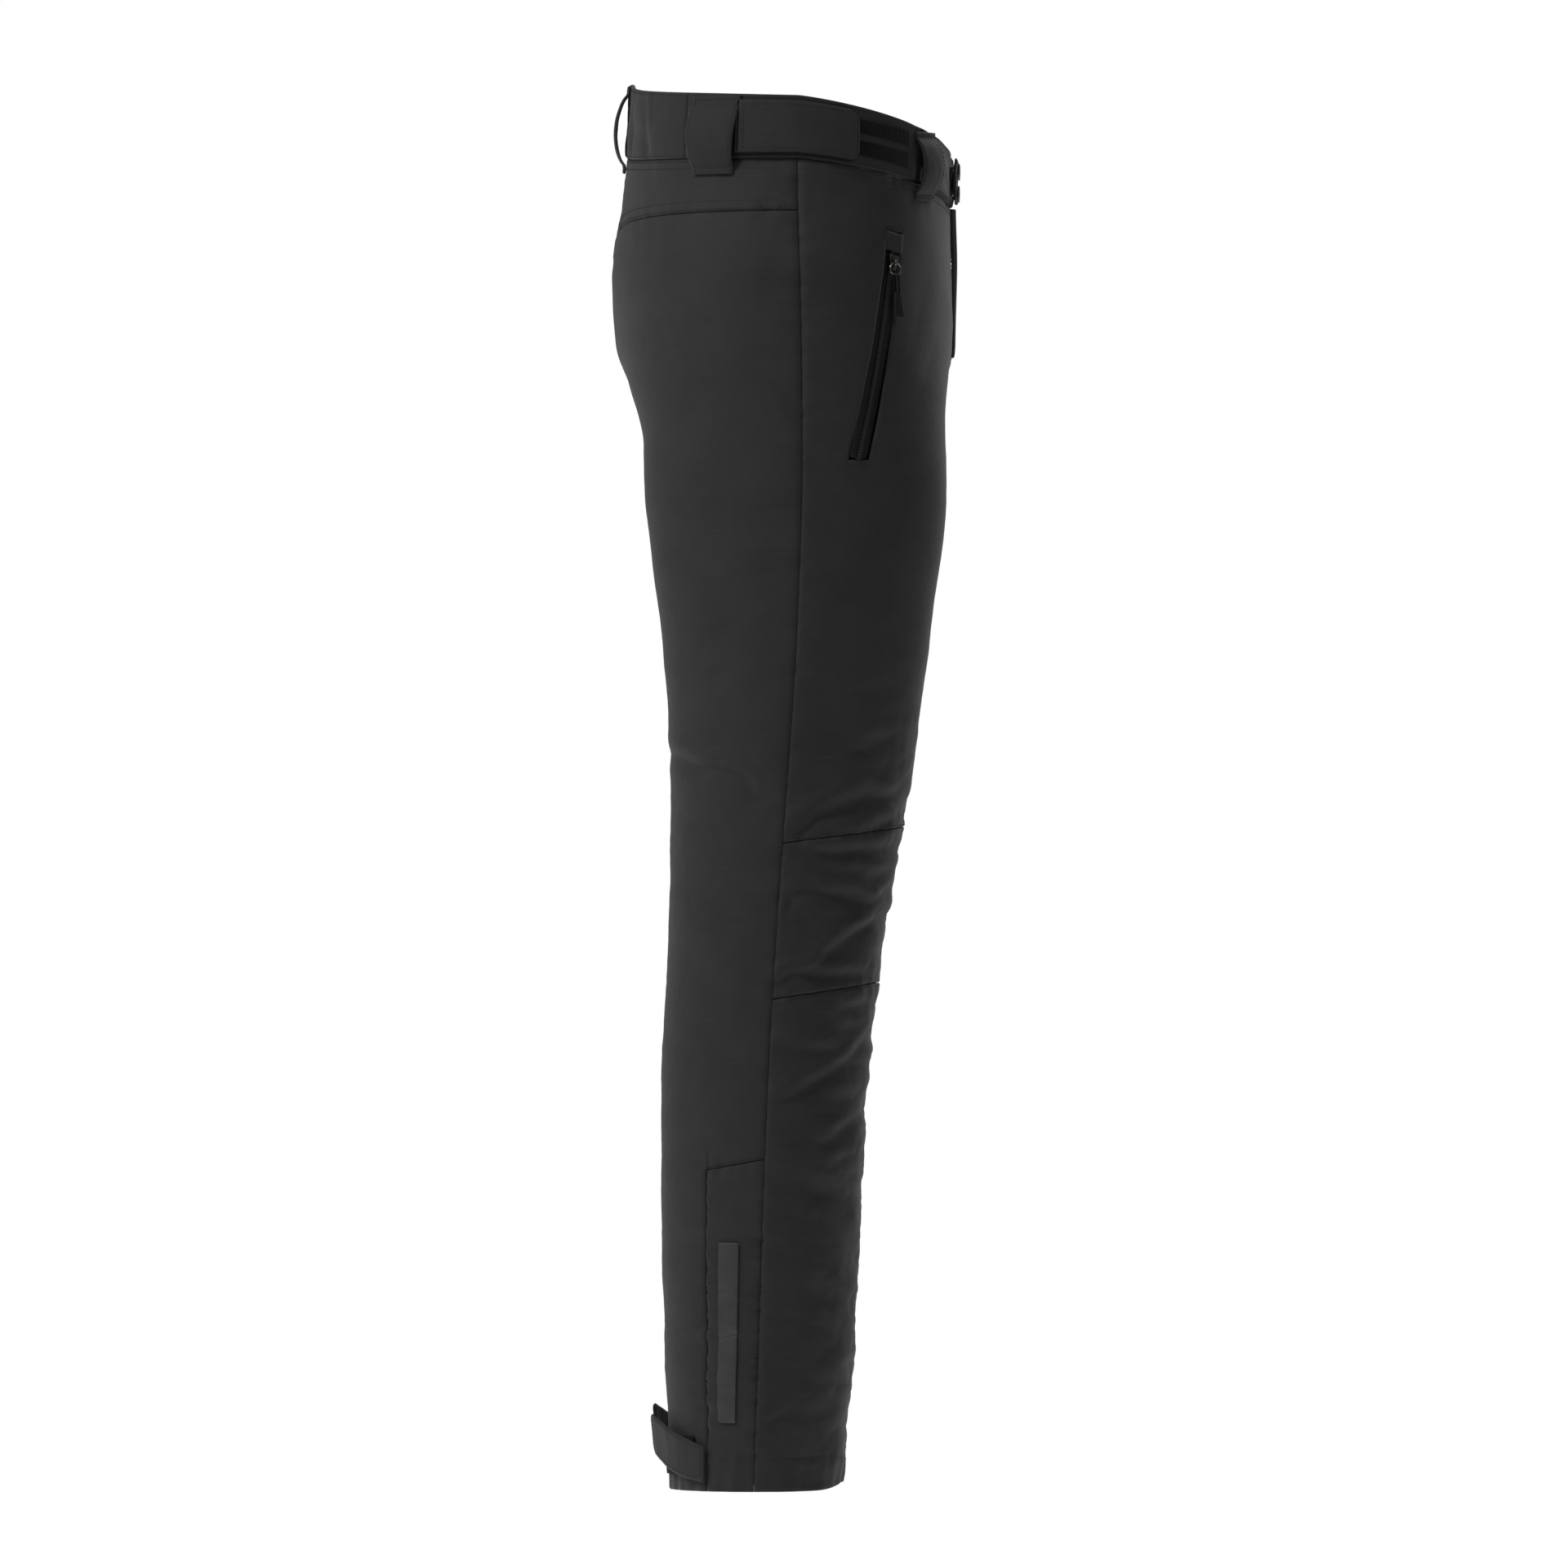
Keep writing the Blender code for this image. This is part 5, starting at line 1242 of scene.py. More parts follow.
@dataclass
class Shell:
    """The outer cloth of both legs: back, yoke, upper front, knee, shin and gusset panels."""

    thick: float = 2.0 * MM
    step: float = 2.7 * MM
    gap_t: float = 0.0001

    def panel(self, side: Side, kind: str, columns: Sequence[Line], rows: Sequence[Line],
              holes: tuple[tuple[int, int], ...] = ()) -> None:
        """Cuts and sews in one panel."""
        node = f"{kind}_{side.label}"
        step = {"back_panel": 3.0 * MM, "gusset_panel": 1.5 * MM}.get(kind, self.step)
        Cloth(f"{kind}_cloth_{side.label}", side, columns, rows, self.thick, FINISH.shell, (node,), step=step,
              holes=holes, relief=RELIEF, rests_on=("waistband_back",)).build()

    def build(self) -> None:
        """Makes the twelve panels."""
        gap, gusset = self.gap_t, Seams.GUSSET_T
        up, down = Seams.GAP, -Seams.GAP
        fly_z = np.linspace(Seams.FLY_BOTTOM, 1.03, 20)
        fly = held_line(fly_z, FORM.at_across(np.full(20, Seams.FLY_HALF), fly_z))
        for side in Side:
            pocket = Pocket(side)
            self.panel(side, "back_panel", [level(-1 + gap), level(-gusset - gap), level(-gap)],
                       [level(0.0), offset(Seams.gusset_top, up), offset(Seams.yoke, down)], ((1, 0),))
            self.panel(side, "gusset_panel", [level(-gusset + gap), level(-gap)],
                       [level(0.0), offset(Seams.gusset_top, down)])
            self.panel(side, "yoke", [level(-1 + gap), level(-gap)],
                       [offset(Seams.yoke, up), offset(Seams.band, down)])
            self.panel(side, "shin_panel", [level(gap), level(1 - gap)],
                       [lambda t: 6 * MM * np.exp(-(((np.asarray(t, float) - 0.5) / 0.15) ** 2)),
                        offset(Seams.knee_bottom, down)])
            self.panel(side, "knee_panel", [level(gap), level(1 - gap)],
                       [offset(Seams.knee_bottom, up), offset(Seams.knee_top, down)])
            half = pocket.width / 2
            self.panel(side, "front_panel",
                       [level(gap), pocket.edge_line(-half), pocket.edge_line(half), fly, level(1 - gap)],
                       [offset(Seams.knee_top, up), level(pocket.bottom), level(Seams.FLY_BOTTOM),
                        level(pocket.top), offset(Seams.band, down)],
                       ((1, 1), (1, 2), (3, 2), (3, 3)))
            self.topstitch(side, pocket)

    @staticmethod
    def topstitch(side: Side, pocket: Pocket) -> None:
        """Sews the rows that show on one leg."""
        rows = Stitching(f"topstitching_{side.label}")
        back = np.linspace(-0.985, -0.035, 260)
        front = np.linspace(0.03, 0.985, 220)
        for lift in (1.8 * MM, 8.2 * MM):
            rows.on_shell(side, back, Seams.yoke(back) + lift)
        box = np.linspace(1.8, 8.2, 8) * MM
        for t in (-0.035, -0.075):
            rows.on_shell(side, t, Seams.yoke(t) + box)
        for line in (Seams.knee_top, Seams.knee_bottom):
            rows.on_shell(side, front, line(front) + (1.8 * MM if line == Seams.knee_top else -1.8 * MM))
        gusset = np.linspace(-Seams.GUSSET_T + 0.006, -0.006, 40)
        rows.on_shell(side, gusset, Seams.gusset_top(gusset) + 1.8 * MM)
        for low, high in ((-0.99, -Seams.GUSSET_T - 0.006), (-Seams.GUSSET_T + 0.006, -0.006), (0.006, 0.99)):
            around = np.linspace(low, high, max(30, int(260 * (high - low))))
            rows.on_shell(side, around, 0.0245)
        z = np.linspace(pocket.bottom - 0.004, pocket.top + 0.004, 70)
        half = pocket.width / 2 + 2.4 * MM
        for shift in (-half, half):
            rows.on_shell(side, pocket.middle_t(z, shift), z)
        for height in (pocket.bottom - 0.004, pocket.bottom - 0.006, pocket.top + 0.004, pocket.top + 0.0145):
            shifts = np.linspace(-half, half, 14)
            t = [value_at(lambda z, shift=shift: pocket.middle_t(z, shift), height) for shift in shifts]
            rows.on_shell(side, t, height)
        z = np.linspace(Seams.FLY_BOTTOM + 0.004, 0.978, 50)
        for beyond in (2.2 * MM, 26.0 * MM):
            if side is Side.LEFT or beyond < 0.01:
                t = FORM.at_across(np.full(50, Seams.FLY_HALF + beyond), z)
                rows.on_shell(side, t, z)
        rows.build()


# ---- Inside ------------------------------------------------------------------------------------
@dataclass
class InnerLayers:
    """The padded lining, the gaiters below it and the pocket bags."""

    step: float = 5.0 * MM
    gap_t: float = 0.0018

    @staticmethod
    def quilting(side: int, t: Array, z: Array) -> Array:
        """Shallow channels across the lining, with the wadding crowned between them."""
        pitch = 62 * MM
        phase = (z - 0.200 - 0.010 * np.cos(np.pi * t)) / pitch
        away = np.abs(phase - np.round(phase)) * pitch
        crown = np.sqrt(np.clip(away / (pitch / 2), 0, 1)) * 1.3 * MM - 1.0 * MM
        return crown + RELIEF.pucker(t * 26, z / 0.02, 2.2) * 0.5 * MM * np.exp(-away / (7 * MM))

    @staticmethod
    def gathered_cuff(side: int, t: Array, z: Array) -> Array:
        """The gaiter's upright gathers, tightest at its elastic lower edge."""
        around = t * FORM.scale(side, t, z)
        low = 1 - eased(0.045, 0.13, z)
        waves = RELIEF.pucker(around / (7.5 * MM), z / 0.05, 9.0) * 2.6 * MM * (0.25 + low)
        channel = -0.8 * MM * (bump(0.055, 0.0012, z) + bump(0.049, 0.0012, z))
        return waves + channel

    def build(self) -> None:
        """Makes the layers of both legs."""
        gap = self.gap_t
        full = [level(-1 + gap), level(1 - gap)]
        for side in Side:
            Cloth(f"quilted_lining_{side.label}", side, full, [level(0.200), offset(Seams.band, 7 * MM)],
                  2.5 * MM, FINISH.lining, (f"padded_lining_{side.label}",), out=-11 * MM, step=self.step,
                  relief=self.quilting, pad=0.25).build()

            def place(t: Array, z: Array, side: Side = side) -> tuple[Array, Array]:
                """The gaiter hangs inside the leg, further from it at the bottom."""
                normal = FORM.normal(side.value, t, z)
                deep = 23.0 * MM + (16.5 - 23.0) * MM * (z - 0.045) / 0.160
                return FORM.point(side.value, t, z) - normal * deep[..., None], normal

            Cloth(f"gaiter_cuff_{side.label}", side, full, [level(0.045), level(0.205)], 1.8 * MM,
                  FINISH.gaiter, (f"snow_gaiter_{side.label}",), step=3.6 * MM, relief=self.gathered_cuff,
                  held="gathered", place=place, rests_on=(f"quilted_lining_{side.label}",)).build()
            Cloth(f"pocket_pouch_{side.label}", side, [level(0.06), level(0.46)], [level(0.730), level(0.966)],
                  2.0 * MM, FINISH.lining, (f"pocket_bag_{side.label}",), out=-7.2 * MM, step=self.step, held="hung",
                  rests_on=(f"front_panel_cloth_{side.label}",)).build()


# ---- Lower leg trim ----------------------------------------------------------------------------
@dataclass
class LowerLegTrim:
    """The reflective strip, the loop patch and the hem tab of each leg.

    Attributes:
        around: about how many metres a step of 1 in t is, near the hem.
    """

    tab_width: float = 27 * MM
    tab_thick: float = 2.0 * MM
    tab_start: float = -Seams.GUSSET_T
    tab_end: float = -92.0 / 180.0
    around: float = 0.21
    strip_foot: float = 0.0526

    @staticmethod
    def strip_relief(side: int, t: Array, z: Array) -> Array:
        """The strip follows the cloth, with the creases that bending has left in it."""
        crease = -1.6 * MM * np.exp(-np.abs(z - 0.1185 - (t + 0.105) * 0.06) / (1.3 * MM))
        crease = crease - 0.5 * MM * np.exp(-np.abs(z - 0.1475 + (t + 0.105) * 0.04) / (1.2 * MM))
        return RELIEF(side, t, z) + 0.25 * MM + crease

    def tab_place(self, side: Side) -> Place:
        """Where a hem tab lies: sewn at the gusset's edge, standing off the leg at its free end."""
        def place(t: Array, v: Array) -> tuple[Array, Array]:
            share = (t - self.tab_start) / (self.tab_end - self.tab_start)
            droop = 0.0035 * np.sin(np.pi * np.clip(share, 0, 1))
            z = 7 * MM + 21 * MM * share - droop * (1 - v) + v * self.tab_width * (1 + 0.14 * share)
            normal = FORM.normal(side.value, t, z)
            out = 2.2 * MM + 8.3 * MM * share ** 2 + 1.1 * MM * np.sin(2.2 * np.pi * share) * share
            out = out + 1.5 * MM * share * (v - 0.5)
            return FORM.point(side.value, t, z) + normal * out[..., None], normal

        return place

    def build(self) -> None:
        """Makes the trim of both legs."""
        for side in Side:
            Cloth(f"reflective_film_{side.label}", side, [self.round_foot, level(-13.0 / 180)],
                  [level(self.strip_foot), level(0.190)], 0.7 * MM, FINISH.film,
                  (f"reflective_strip_{side.label}",), out=1.4 * MM, step=1.6 * MM, relief=self.strip_relief,
                  rests_on=(f"gusset_panel_cloth_{side.label}",)).build()
            Cloth(f"hem_loop_mat_{side.label}", side, [level(-84 / 180), level(-44 / 180)],
                  [level(0.012), level(0.042)], 0.7 * MM, FINISH.loop, (f"hem_loop_patch_{side.label}",),
                  out=1.4 * MM, step=2.0 * MM, relief=lambda s, t, z: RELIEF(s, t, z) + 0.2 * MM,
                  rests_on=(f"back_panel_cloth_{side.label}",)).build()
            place, body = self.tab_place(side), f"hem_tab_{side.label}"
            Cloth(f"hem_tab_cloth_{side.label}", side, [self.rounded_end, level(self.tab_start)],
                  [level(0.0), level(1.0)], self.tab_thick, FINISH.shell, (f"hem_tab_{side.label}",), body,
                  out=self.tab_thick, step=2.0 * MM, place=place, real=(0.072, self.tab_width),
                  relief=self.tab_relief, held="hung", rests_on=(f"gusset_panel_cloth_{side.label}",)).build()
            rows = Stitching(f"hem_tab_stitching_{side.label}", body=body)
            edge = np.linspace(self.tab_end + 0.035, self.tab_start - 0.008, 60)
            end = np.linspace(0.12, 0.88, 24)
            for t, v in ((edge, 0.09), (edge, 0.91), (self.tab_end + 0.018, end), (self.tab_start - 0.016, end)):
                rows.on_piece(place, self.tab_relief, side.value, self.tab_thick, t, v)
            rows.build()

    def round_foot(self, z: Array) -> Array:
        """The strip's rear edge, rounded off at its foot."""
        corner = 3.5 * MM
        return -25.0 / 180 + corner_cut(self.strip_foot + corner - z, corner, 0.97) / self.around

    def rounded_end(self, v: Array) -> Array:
        """The tab's free end, with rounded corners."""
        reach = 6.0 * MM
        past = np.abs(v - 0.5) * self.tab_width - (self.tab_width / 2 - reach)
        return self.tab_end + corner_cut(past, reach, 0.97) / self.around

    @staticmethod
    def tab_relief(side: int, t: Array, v: Array) -> Array:
        """Small ripples between the tab's two rows of stitching."""
        return RELIEF.pucker(t * 30, v * 1.5, 3.3 + side) * 0.5 * MM


# ---- Waist -------------------------------------------------------------------------------------
@dataclass
class Waist:
    """The waistband with its gathered back, and the belt loops and adjusters on it."""

    back_angle: float = -39.0
    joint_angle: float = 53.6
    out: float = 1.0 * MM
    thick: float = 3.5 * MM

    @staticmethod
    def band_share(t: Array, z: Array) -> Array:
        """How far up the band a height is, from 0 to 1."""
        low, high = Seams.band(t), Seams.band_top(t)
        return (z - low) / (high - low)

    def band_relief(self, side: int | Array, t: Array, z: Array) -> Array:
        """Gathers over the elastic, a rolled top edge and the seam's valley."""
        share = self.band_share(t, z)
        around = t * FORM.scale(side, t, z)
        crown = 0.9 * MM * np.sin(np.pi * np.clip(share, 0, 1)) ** 0.7
        seam = -0.9 * MM * np.exp(-np.abs(z - Seams.band(t)) / (1.2 * MM))
        rear = 1 - eased(-0.47, -0.40, t)
        ahead = eased(0.33, 0.44, t)
        sign = np.where(np.asarray(side) > 0, 3.0, 0.0)
        lean = (share - 0.5) * 6 * MM
        gathers = RELIEF.pucker((around + lean) / (8.0 * MM), share * 1.1, 1.5 + sign)
        gathers = gathers + 0.6 * RELIEF.fine((around - lean) / (4.5 * MM), share * 2.0, 4.5 + sign)
        edge = np.sin(np.pi * np.clip(share * 0.86 + 0.07, 0, 1)) ** 0.5
        ruck = gathers * edge * (3.6 * MM * rear + 5.0 * MM * ahead + 0.5 * MM)
        soft = RELIEF.broad(around / 0.03, share * 1.2, 7.7 + sign) * 0.9 * MM
        return np.clip(crown + seam + ruck + soft, -2.0 * MM, 2.4 * MM)

    def flat_relief(self, side: int | Array, t: Array, z: Array) -> Array:
        """The band under an adjuster, which is kept flat by it."""
        under = eased(-0.28, -0.22, t) * (1 - eased(0.31, 0.37, t))
        return self.band_relief(side, t, z) * (1 - 0.8 * under)

    def build(self) -> None:
        """Makes the band, then what is sewn to it."""
        back = FORM.at_angle(self.back_angle)
        joint = FORM.at_angle(self.joint_angle)
        gap = 0.0002

        def mirrored(line: Line) -> Line:
            return lambda s: line(np.abs(s) - 1.0)

        def around_back(s: Array, z: Array) -> tuple[Array, Array]:
            side = np.where(s >= 0, 1, -1)
            t = np.abs(s) - 1.0
            return FORM.point(side, t, z), FORM.normal(side, t, z)

        rows = [offset(Seams.band, Seams.GAP), Seams.band_top]
        reach = 1.0 + back - gap
        Cloth("waistband_gathers_back", Side.LEFT, [level(-reach), level(reach)],
              [mirrored(line) for line in rows], self.thick, FINISH.band, ("waistband_back",),
              out=self.out, step=2.0 * MM, held="gathered", place=around_back, real=(0.245, 0.056),
              relief=lambda side, s, z: self.flat_relief(np.where(s >= 0, 1, -1), np.abs(s) - 1.0, z),
              rests_on=("yoke_cloth_left", "yoke_cloth_right")).build()
        for side in Side:
            for kind, low, high in (("side", back + gap, joint - gap), ("front", joint + gap, 1 - 2 * gap)):
                Cloth(f"waistband_cloth_{kind}_{side.label}", side, [level(low), level(high)], rows, self.thick,
                      FINISH.band, (f"waistband_{kind}_{side.label}",), out=self.out, step=2.0 * MM,
                      relief=self.flat_relief, held="gathered" if kind == "front" else "stretched",
                      rests_on=(f"front_panel_cloth_{side.label}",),
                      bears=(Adjuster(side, self).foot(),) if kind == "side" else ()).build()
        stitched = Stitching("waistband_stitching")
        for side in Side:
            t = np.linspace(-0.985, 0.985, 560)
            for share in (0.045, 0.955):
                z = Seams.band(t) + share * (Seams.band_top(t) - Seams.band(t))
                stitched.on_shell(side, t, z, self.out, self.flat_relief)
            for drop in (2.0 * MM, 7.5 * MM):
                stitched.on_shell(side, t, Seams.band(t) - drop)
        stitched.build()
        BeltLoops().build()
        for side in Side:
            Adjuster(side, self).build()


@dataclass
class BeltLoops:
    """Five strips that a belt runs behind, each sewn down below the band and at its top."""

    gap: float = 8.5 * MM
    thick: float = 1.6 * MM
    drop: float = 12 * MM

    def build(self) -> None:
        """Makes the five loops."""
        self.loop("belt_loop_strap_centre_back", "belt_loop_centre_back", Side.LEFT, -90.0, 0.040, 0.0, 0.0)
        for side in Side:
            self.loop(f"belt_loop_strap_rear_{side.label}", f"belt_loop_rear_{side.label}", side, -27.5,
                      0.039, 0.24, 1.0 * MM)
            self.loop(f"belt_loop_strap_front_{side.label}", f"belt_loop_front_{side.label}", side, 53.6,
                      0.034, 0.05, -0.6 * MM)

    def loop(self, name: str, node: str, side: Side, angle: float, width: float, flare: float, skew: float) -> None:
        """Makes one loop.

        Args:
            name: the piece's name.
            node: the CAD node that it stands for.
            side: the half that it is on.
            angle: degrees round the body.
            width: its width.
            flare: how much wider its top is than its middle, as a share.
            skew: how far its top leans forward.
        """
        centre = angle <= -90
        t0 = -1.0 if centre else FORM.at_angle(angle)
        at = np.array([min(max(t0, -0.99), 0.99)])
        scale = float(FORM.scale(side.value, at, Seams.band(at))[0])
        low, high = value_at(Seams.band, t0) - self.drop, value_at(Seams.band_top, t0) - 2 * MM
        face = 1.6 * MM

        def place(along: Array, share: Array) -> tuple[Array, Array]:
            half = width / 2 * (1 + flare * (share - 0.35)) / scale
            shift = along * half + skew * (share - 0.5) / scale
            z = low + (high - low) * share
            here = np.where(along >= 0, side.value, -side.value) if centre else np.full(z.shape, side.value)
            t = -1.0 + np.abs(shift) if centre else t0 + shift
            stand = np.sin(np.pi * np.clip((share - 0.10) / 0.80, 0, 1)) ** 0.6
            tuck = 1.3 * MM * (eased(0.10, 0.0, share) + eased(0.90, 1.0, share))
            cup = 0.5 * MM * (1 - along ** 2) * stand
            out = face + self.gap * stand + cup - 0.2 * tuck
            normal = FORM.normal(here, t, z)
            return FORM.point(here, t, z) + normal * out[..., None], normal

        def relief(_: int, along: Array, share: Array) -> Array:
            wave = RELIEF.pucker(along * 2.4 + angle, share * 6, 6.1 + side.value) * 0.45 * MM
            sewn = -0.35 * MM * np.exp(-(1 - np.abs(along)) / 0.10) - 0.3 * MM * bump(0.045, 0.02, share)
            return wave + sewn

        Cloth(name, side, [level(-1.0), level(1.0)], [level(0.0), level(1.0)], self.thick, FINISH.band,
              (node,), out=self.thick, step=1.8 * MM, place=place, relief=relief, real=(width, high - low),
              held="hung", rests_on=("waistband_gathers_back",)).build()
        rows = Stitching(f"{name}_stitching")
        up, across = np.linspace(0.02, 0.98, 60), np.linspace(-0.84, 0.84, 24)
        for along, share in ((-0.86, up), (0.86, up), (across, 0.035), (across, 0.075), (across, 0.95)):
            rows.on_piece(place, relief, 0, self.thick, along, share)
        rows.build()


@dataclass
class Adjuster:
    """A waist adjuster: a sewn base, a tab that peels forward and the loop strips that hold it."""

    side: Side
    waist: Waist
    angles: tuple[float, float] = (-18.0, 21.0)
    inset: float = 4.5 * MM
    out: float = 3.6 * MM
    thick: float = 2.2 * MM
    corner: float = 9.0 * MM

    def relief(self, side: int, t: Array, z: Array) -> Array:
        """The tab is padded, so it crowns a little inside its edge stitching."""
        share = self.waist.band_share(t, z)
        inside = np.sqrt(np.clip(np.sin(np.pi * np.clip((share - 0.10) / 0.80, 0, 1)), 0, 1))
        ripple = RELIEF.pucker(t * 22, share * 1.4, 8.8 + side) * 0.5 * MM
        return 0.8 * MM * inside + ripple

    def foot(self) -> str:
        """Makes the folded end that is sewn through to the band, and gives its name."""
        base, start = FORM.at_angle(-19.2), FORM.at_angle(self.angles[0])
        top = self.out + self.thick
        return Cloth(f"waist_tab_foot_{self.side.label}", self.side, [level(base), level(start - 0.0027)],
                     self.edges(0.0), top - 1.3 * MM, FINISH.band, (f"waist_tab_base_{self.side.label}",), out=top,
                     step=0.9 * MM, relief=self.relief, sewn_on=True).build().name

    def edges(self, rim: float) -> list[Line]:
        """Lines that far inside the tab's lower and upper edges."""
        return [offset(Seams.band, self.inset + rim), offset(Seams.band_top, -self.inset - rim)]

    def build(self) -> None:
        """Makes the tab, its stitching and the loop strips."""
        label, side = self.side.label, self.side
        start, end = (FORM.at_angle(angle) for angle in self.angles)
        scale = float(FORM.scale(side.value, np.array([end]), np.array([1.04]))[0])
        top = self.out + self.thick

        def rounded(z: Array) -> Array:
            """The free end, with its round corners."""
            low, high = (line(end) for line in self.edges(self.corner))
            return end - corner_cut(np.maximum(low - z, z - high), self.corner, 0.985) / scale

        Cloth(f"waist_tab_strap_{label}", side, [level(start), rounded], self.edges(0.0), self.thick,
              FINISH.band, (f"waist_tab_{label}",), f"waist_tab_{label}", out=top, step=1.6 * MM,
              relief=self.relief, rests_on=(f"waistband_cloth_side_{label}",)).build()
        stitched = Stitching(f"waist_tab_stitching_{label}", body=f"waist_tab_{label}")
        t = np.linspace(start + 0.01, end - 0.028, 60)
        rim = 3.2 * MM
        for edge in self.edges(rim):
            stitched.on_shell(side, t, edge(t), top, self.relief)
        z = np.linspace(*(value_at(edge, end) for edge in self.edges(rim + 1 * MM)), 30)
        stitched.on_shell(side, rounded(z) - rim / scale, z, top, self.relief)
        z = np.linspace(*(value_at(edge, start) for edge in self.edges(rim)), 24)
        stitched.on_shell(side, start + 0.012, z, top, self.relief)
        stitched.build()
        low, high = FORM.at_angle(-8.0), FORM.at_angle(44.0)
        for strip, lift in (("lower", -0.5), ("upper", 0.5)):
            middle = lift * 17 * MM
            edges = [
                lambda t, by=middle + half: (Seams.band(t) + Seams.band_top(t)) / 2 + by
                for half in (-5.5 * MM, 5.5 * MM)
            ]
            Cloth(f"loop_mat_{strip}_{label}", side, [level(low), level(high)], edges, 0.7 * MM, FINISH.loop,
                  (f"loop_strip_{strip}_{label}",), out=2.1 * MM, step=1.6 * MM,
                  relief=lambda s, t, z: 0.5 * self.waist.flat_relief(s, t, z),
                  rests_on=(f"waistband_cloth_side_{label}",)).build()


# ---- Hard pieces -------------------------------------------------------------------------------
class Bench:
    """Models a small hard piece by hand-like operators, in its own frame, then sets it in place."""

    def __init__(self, name: str, frame: Matrix) -> None:
        """Starts a piece whose parts are joined at the end."""
        self.name = name
        self.frame = frame
        self.parts: list[bpy.types.Object] = []

    @staticmethod
    def clear() -> None:
        """Deselects everything."""
        if bpy.context.mode != "OBJECT":
            bpy.ops.object.mode_set(mode="OBJECT")
        bpy.ops.object.select_all(action="DESELECT")

    def _take(self, size: tuple[float, float, float] | None = None) -> bpy.types.Object:
        """Keeps the new primitive, at its size."""
        piece = bpy.context.active_object
        if size:
            piece.scale = size
        bpy.ops.object.transform_apply(location=True, rotation=True, scale=True)
        self.parts.append(piece)
        return piece

    def block(self, size: tuple[float, float, float], centre: tuple[float, float, float]) -> bpy.types.Object:
        """Adds a block."""
        self.clear()
        bpy.ops.mesh.primitive_cube_add(size=1.0, location=centre)
        return self._take(size)

    def disc(self, radius: float, depth: float, centre: tuple[float, float, float],
             turn: tuple[float, float, float] = (0, 0, 0), sides: int = 40) -> bpy.types.Object:
        """Adds a round disc or rod."""
        self.clear()
        bpy.ops.mesh.primitive_cylinder_add(vertices=sides, radius=radius, depth=depth, location=centre,
                                            rotation=turn)
        return self._take()

    def ring(self, major: float, minor: float, centre: tuple[float, float, float],
             turn: tuple[float, float, float] = (0, 0, 0)) -> bpy.types.Object:
        """Adds a ring of round wire."""
        self.clear()
        bpy.ops.mesh.primitive_torus_add(major_radius=major, minor_radius=minor, major_segments=40,
                                         minor_segments=14, location=centre, rotation=turn)
        return self._take()

    def choose(self, piece: bpy.types.Object) -> None:
        """Selects one piece alone."""
        self.clear()
        piece.select_set(True)
        bpy.context.view_layer.objects.active = piece

    @contextmanager
    def edit(self, piece: bpy.types.Object, faces: Callable[[Vector, Vector], bool] | None = None,
             points: Callable[[Vector], bool] | None = None) -> Iterator[None]:
        """Holds a piece in edit mode with some of it selected.

        Args:
            piece: the part to shape.
            faces: chooses faces by their middle and normal.
            points: or chooses points by their place.
        """
        self.choose(piece)
        mesh = piece.data
        for group in (mesh.vertices, mesh.edges, mesh.polygons):
            group.foreach_set("select", np.zeros(len(group), bool))
        if faces:
            for face in mesh.polygons:
                face.select = faces(face.center, face.normal)
        if points:
            for vertex in mesh.vertices:
                vertex.select = points(vertex.co)
        bpy.ops.object.mode_set(mode="EDIT")
        bpy.ops.mesh.select_mode(type="FACE" if faces else "VERT")
        yield
        bpy.ops.object.mode_set(mode="OBJECT")

    def bevel(self, piece: bpy.types.Object, width: float, segments: int = 3) -> None:
        """Rounds the sharp edges of a part and applies it."""
        self.choose(piece)
        modifier = piece.modifiers.new("bevel", "BEVEL")
        modifier.width, modifier.segments, modifier.limit_method = width, segments, "ANGLE"
        modifier.angle_limit = math.radians(35)
        bpy.ops.object.modifier_apply(modifier=modifier.name)

    def finish(self, finish: Finish, body: str, replaces: Sequence[str] = ()) -> bpy.types.Object:
        """Joins the parts, sets them in place and dresses them."""
        self.clear()
        for part in self.parts:
            part.select_set(True)
        bpy.context.view_layer.objects.active = self.parts[0]
        if len(self.parts) > 1:
            bpy.ops.object.join()
        piece = bpy.context.active_object
        piece.name = piece.data.name = self.name
        bpy.ops.object.shade_smooth_by_angle(angle=math.radians(40))
        piece.data.transform(self.frame)
        piece.select_set(False)
        dress(piece, finish, body, replaces)
        LOG.info("%s: %d faces", self.name, len(piece.data.polygons))
        return piece


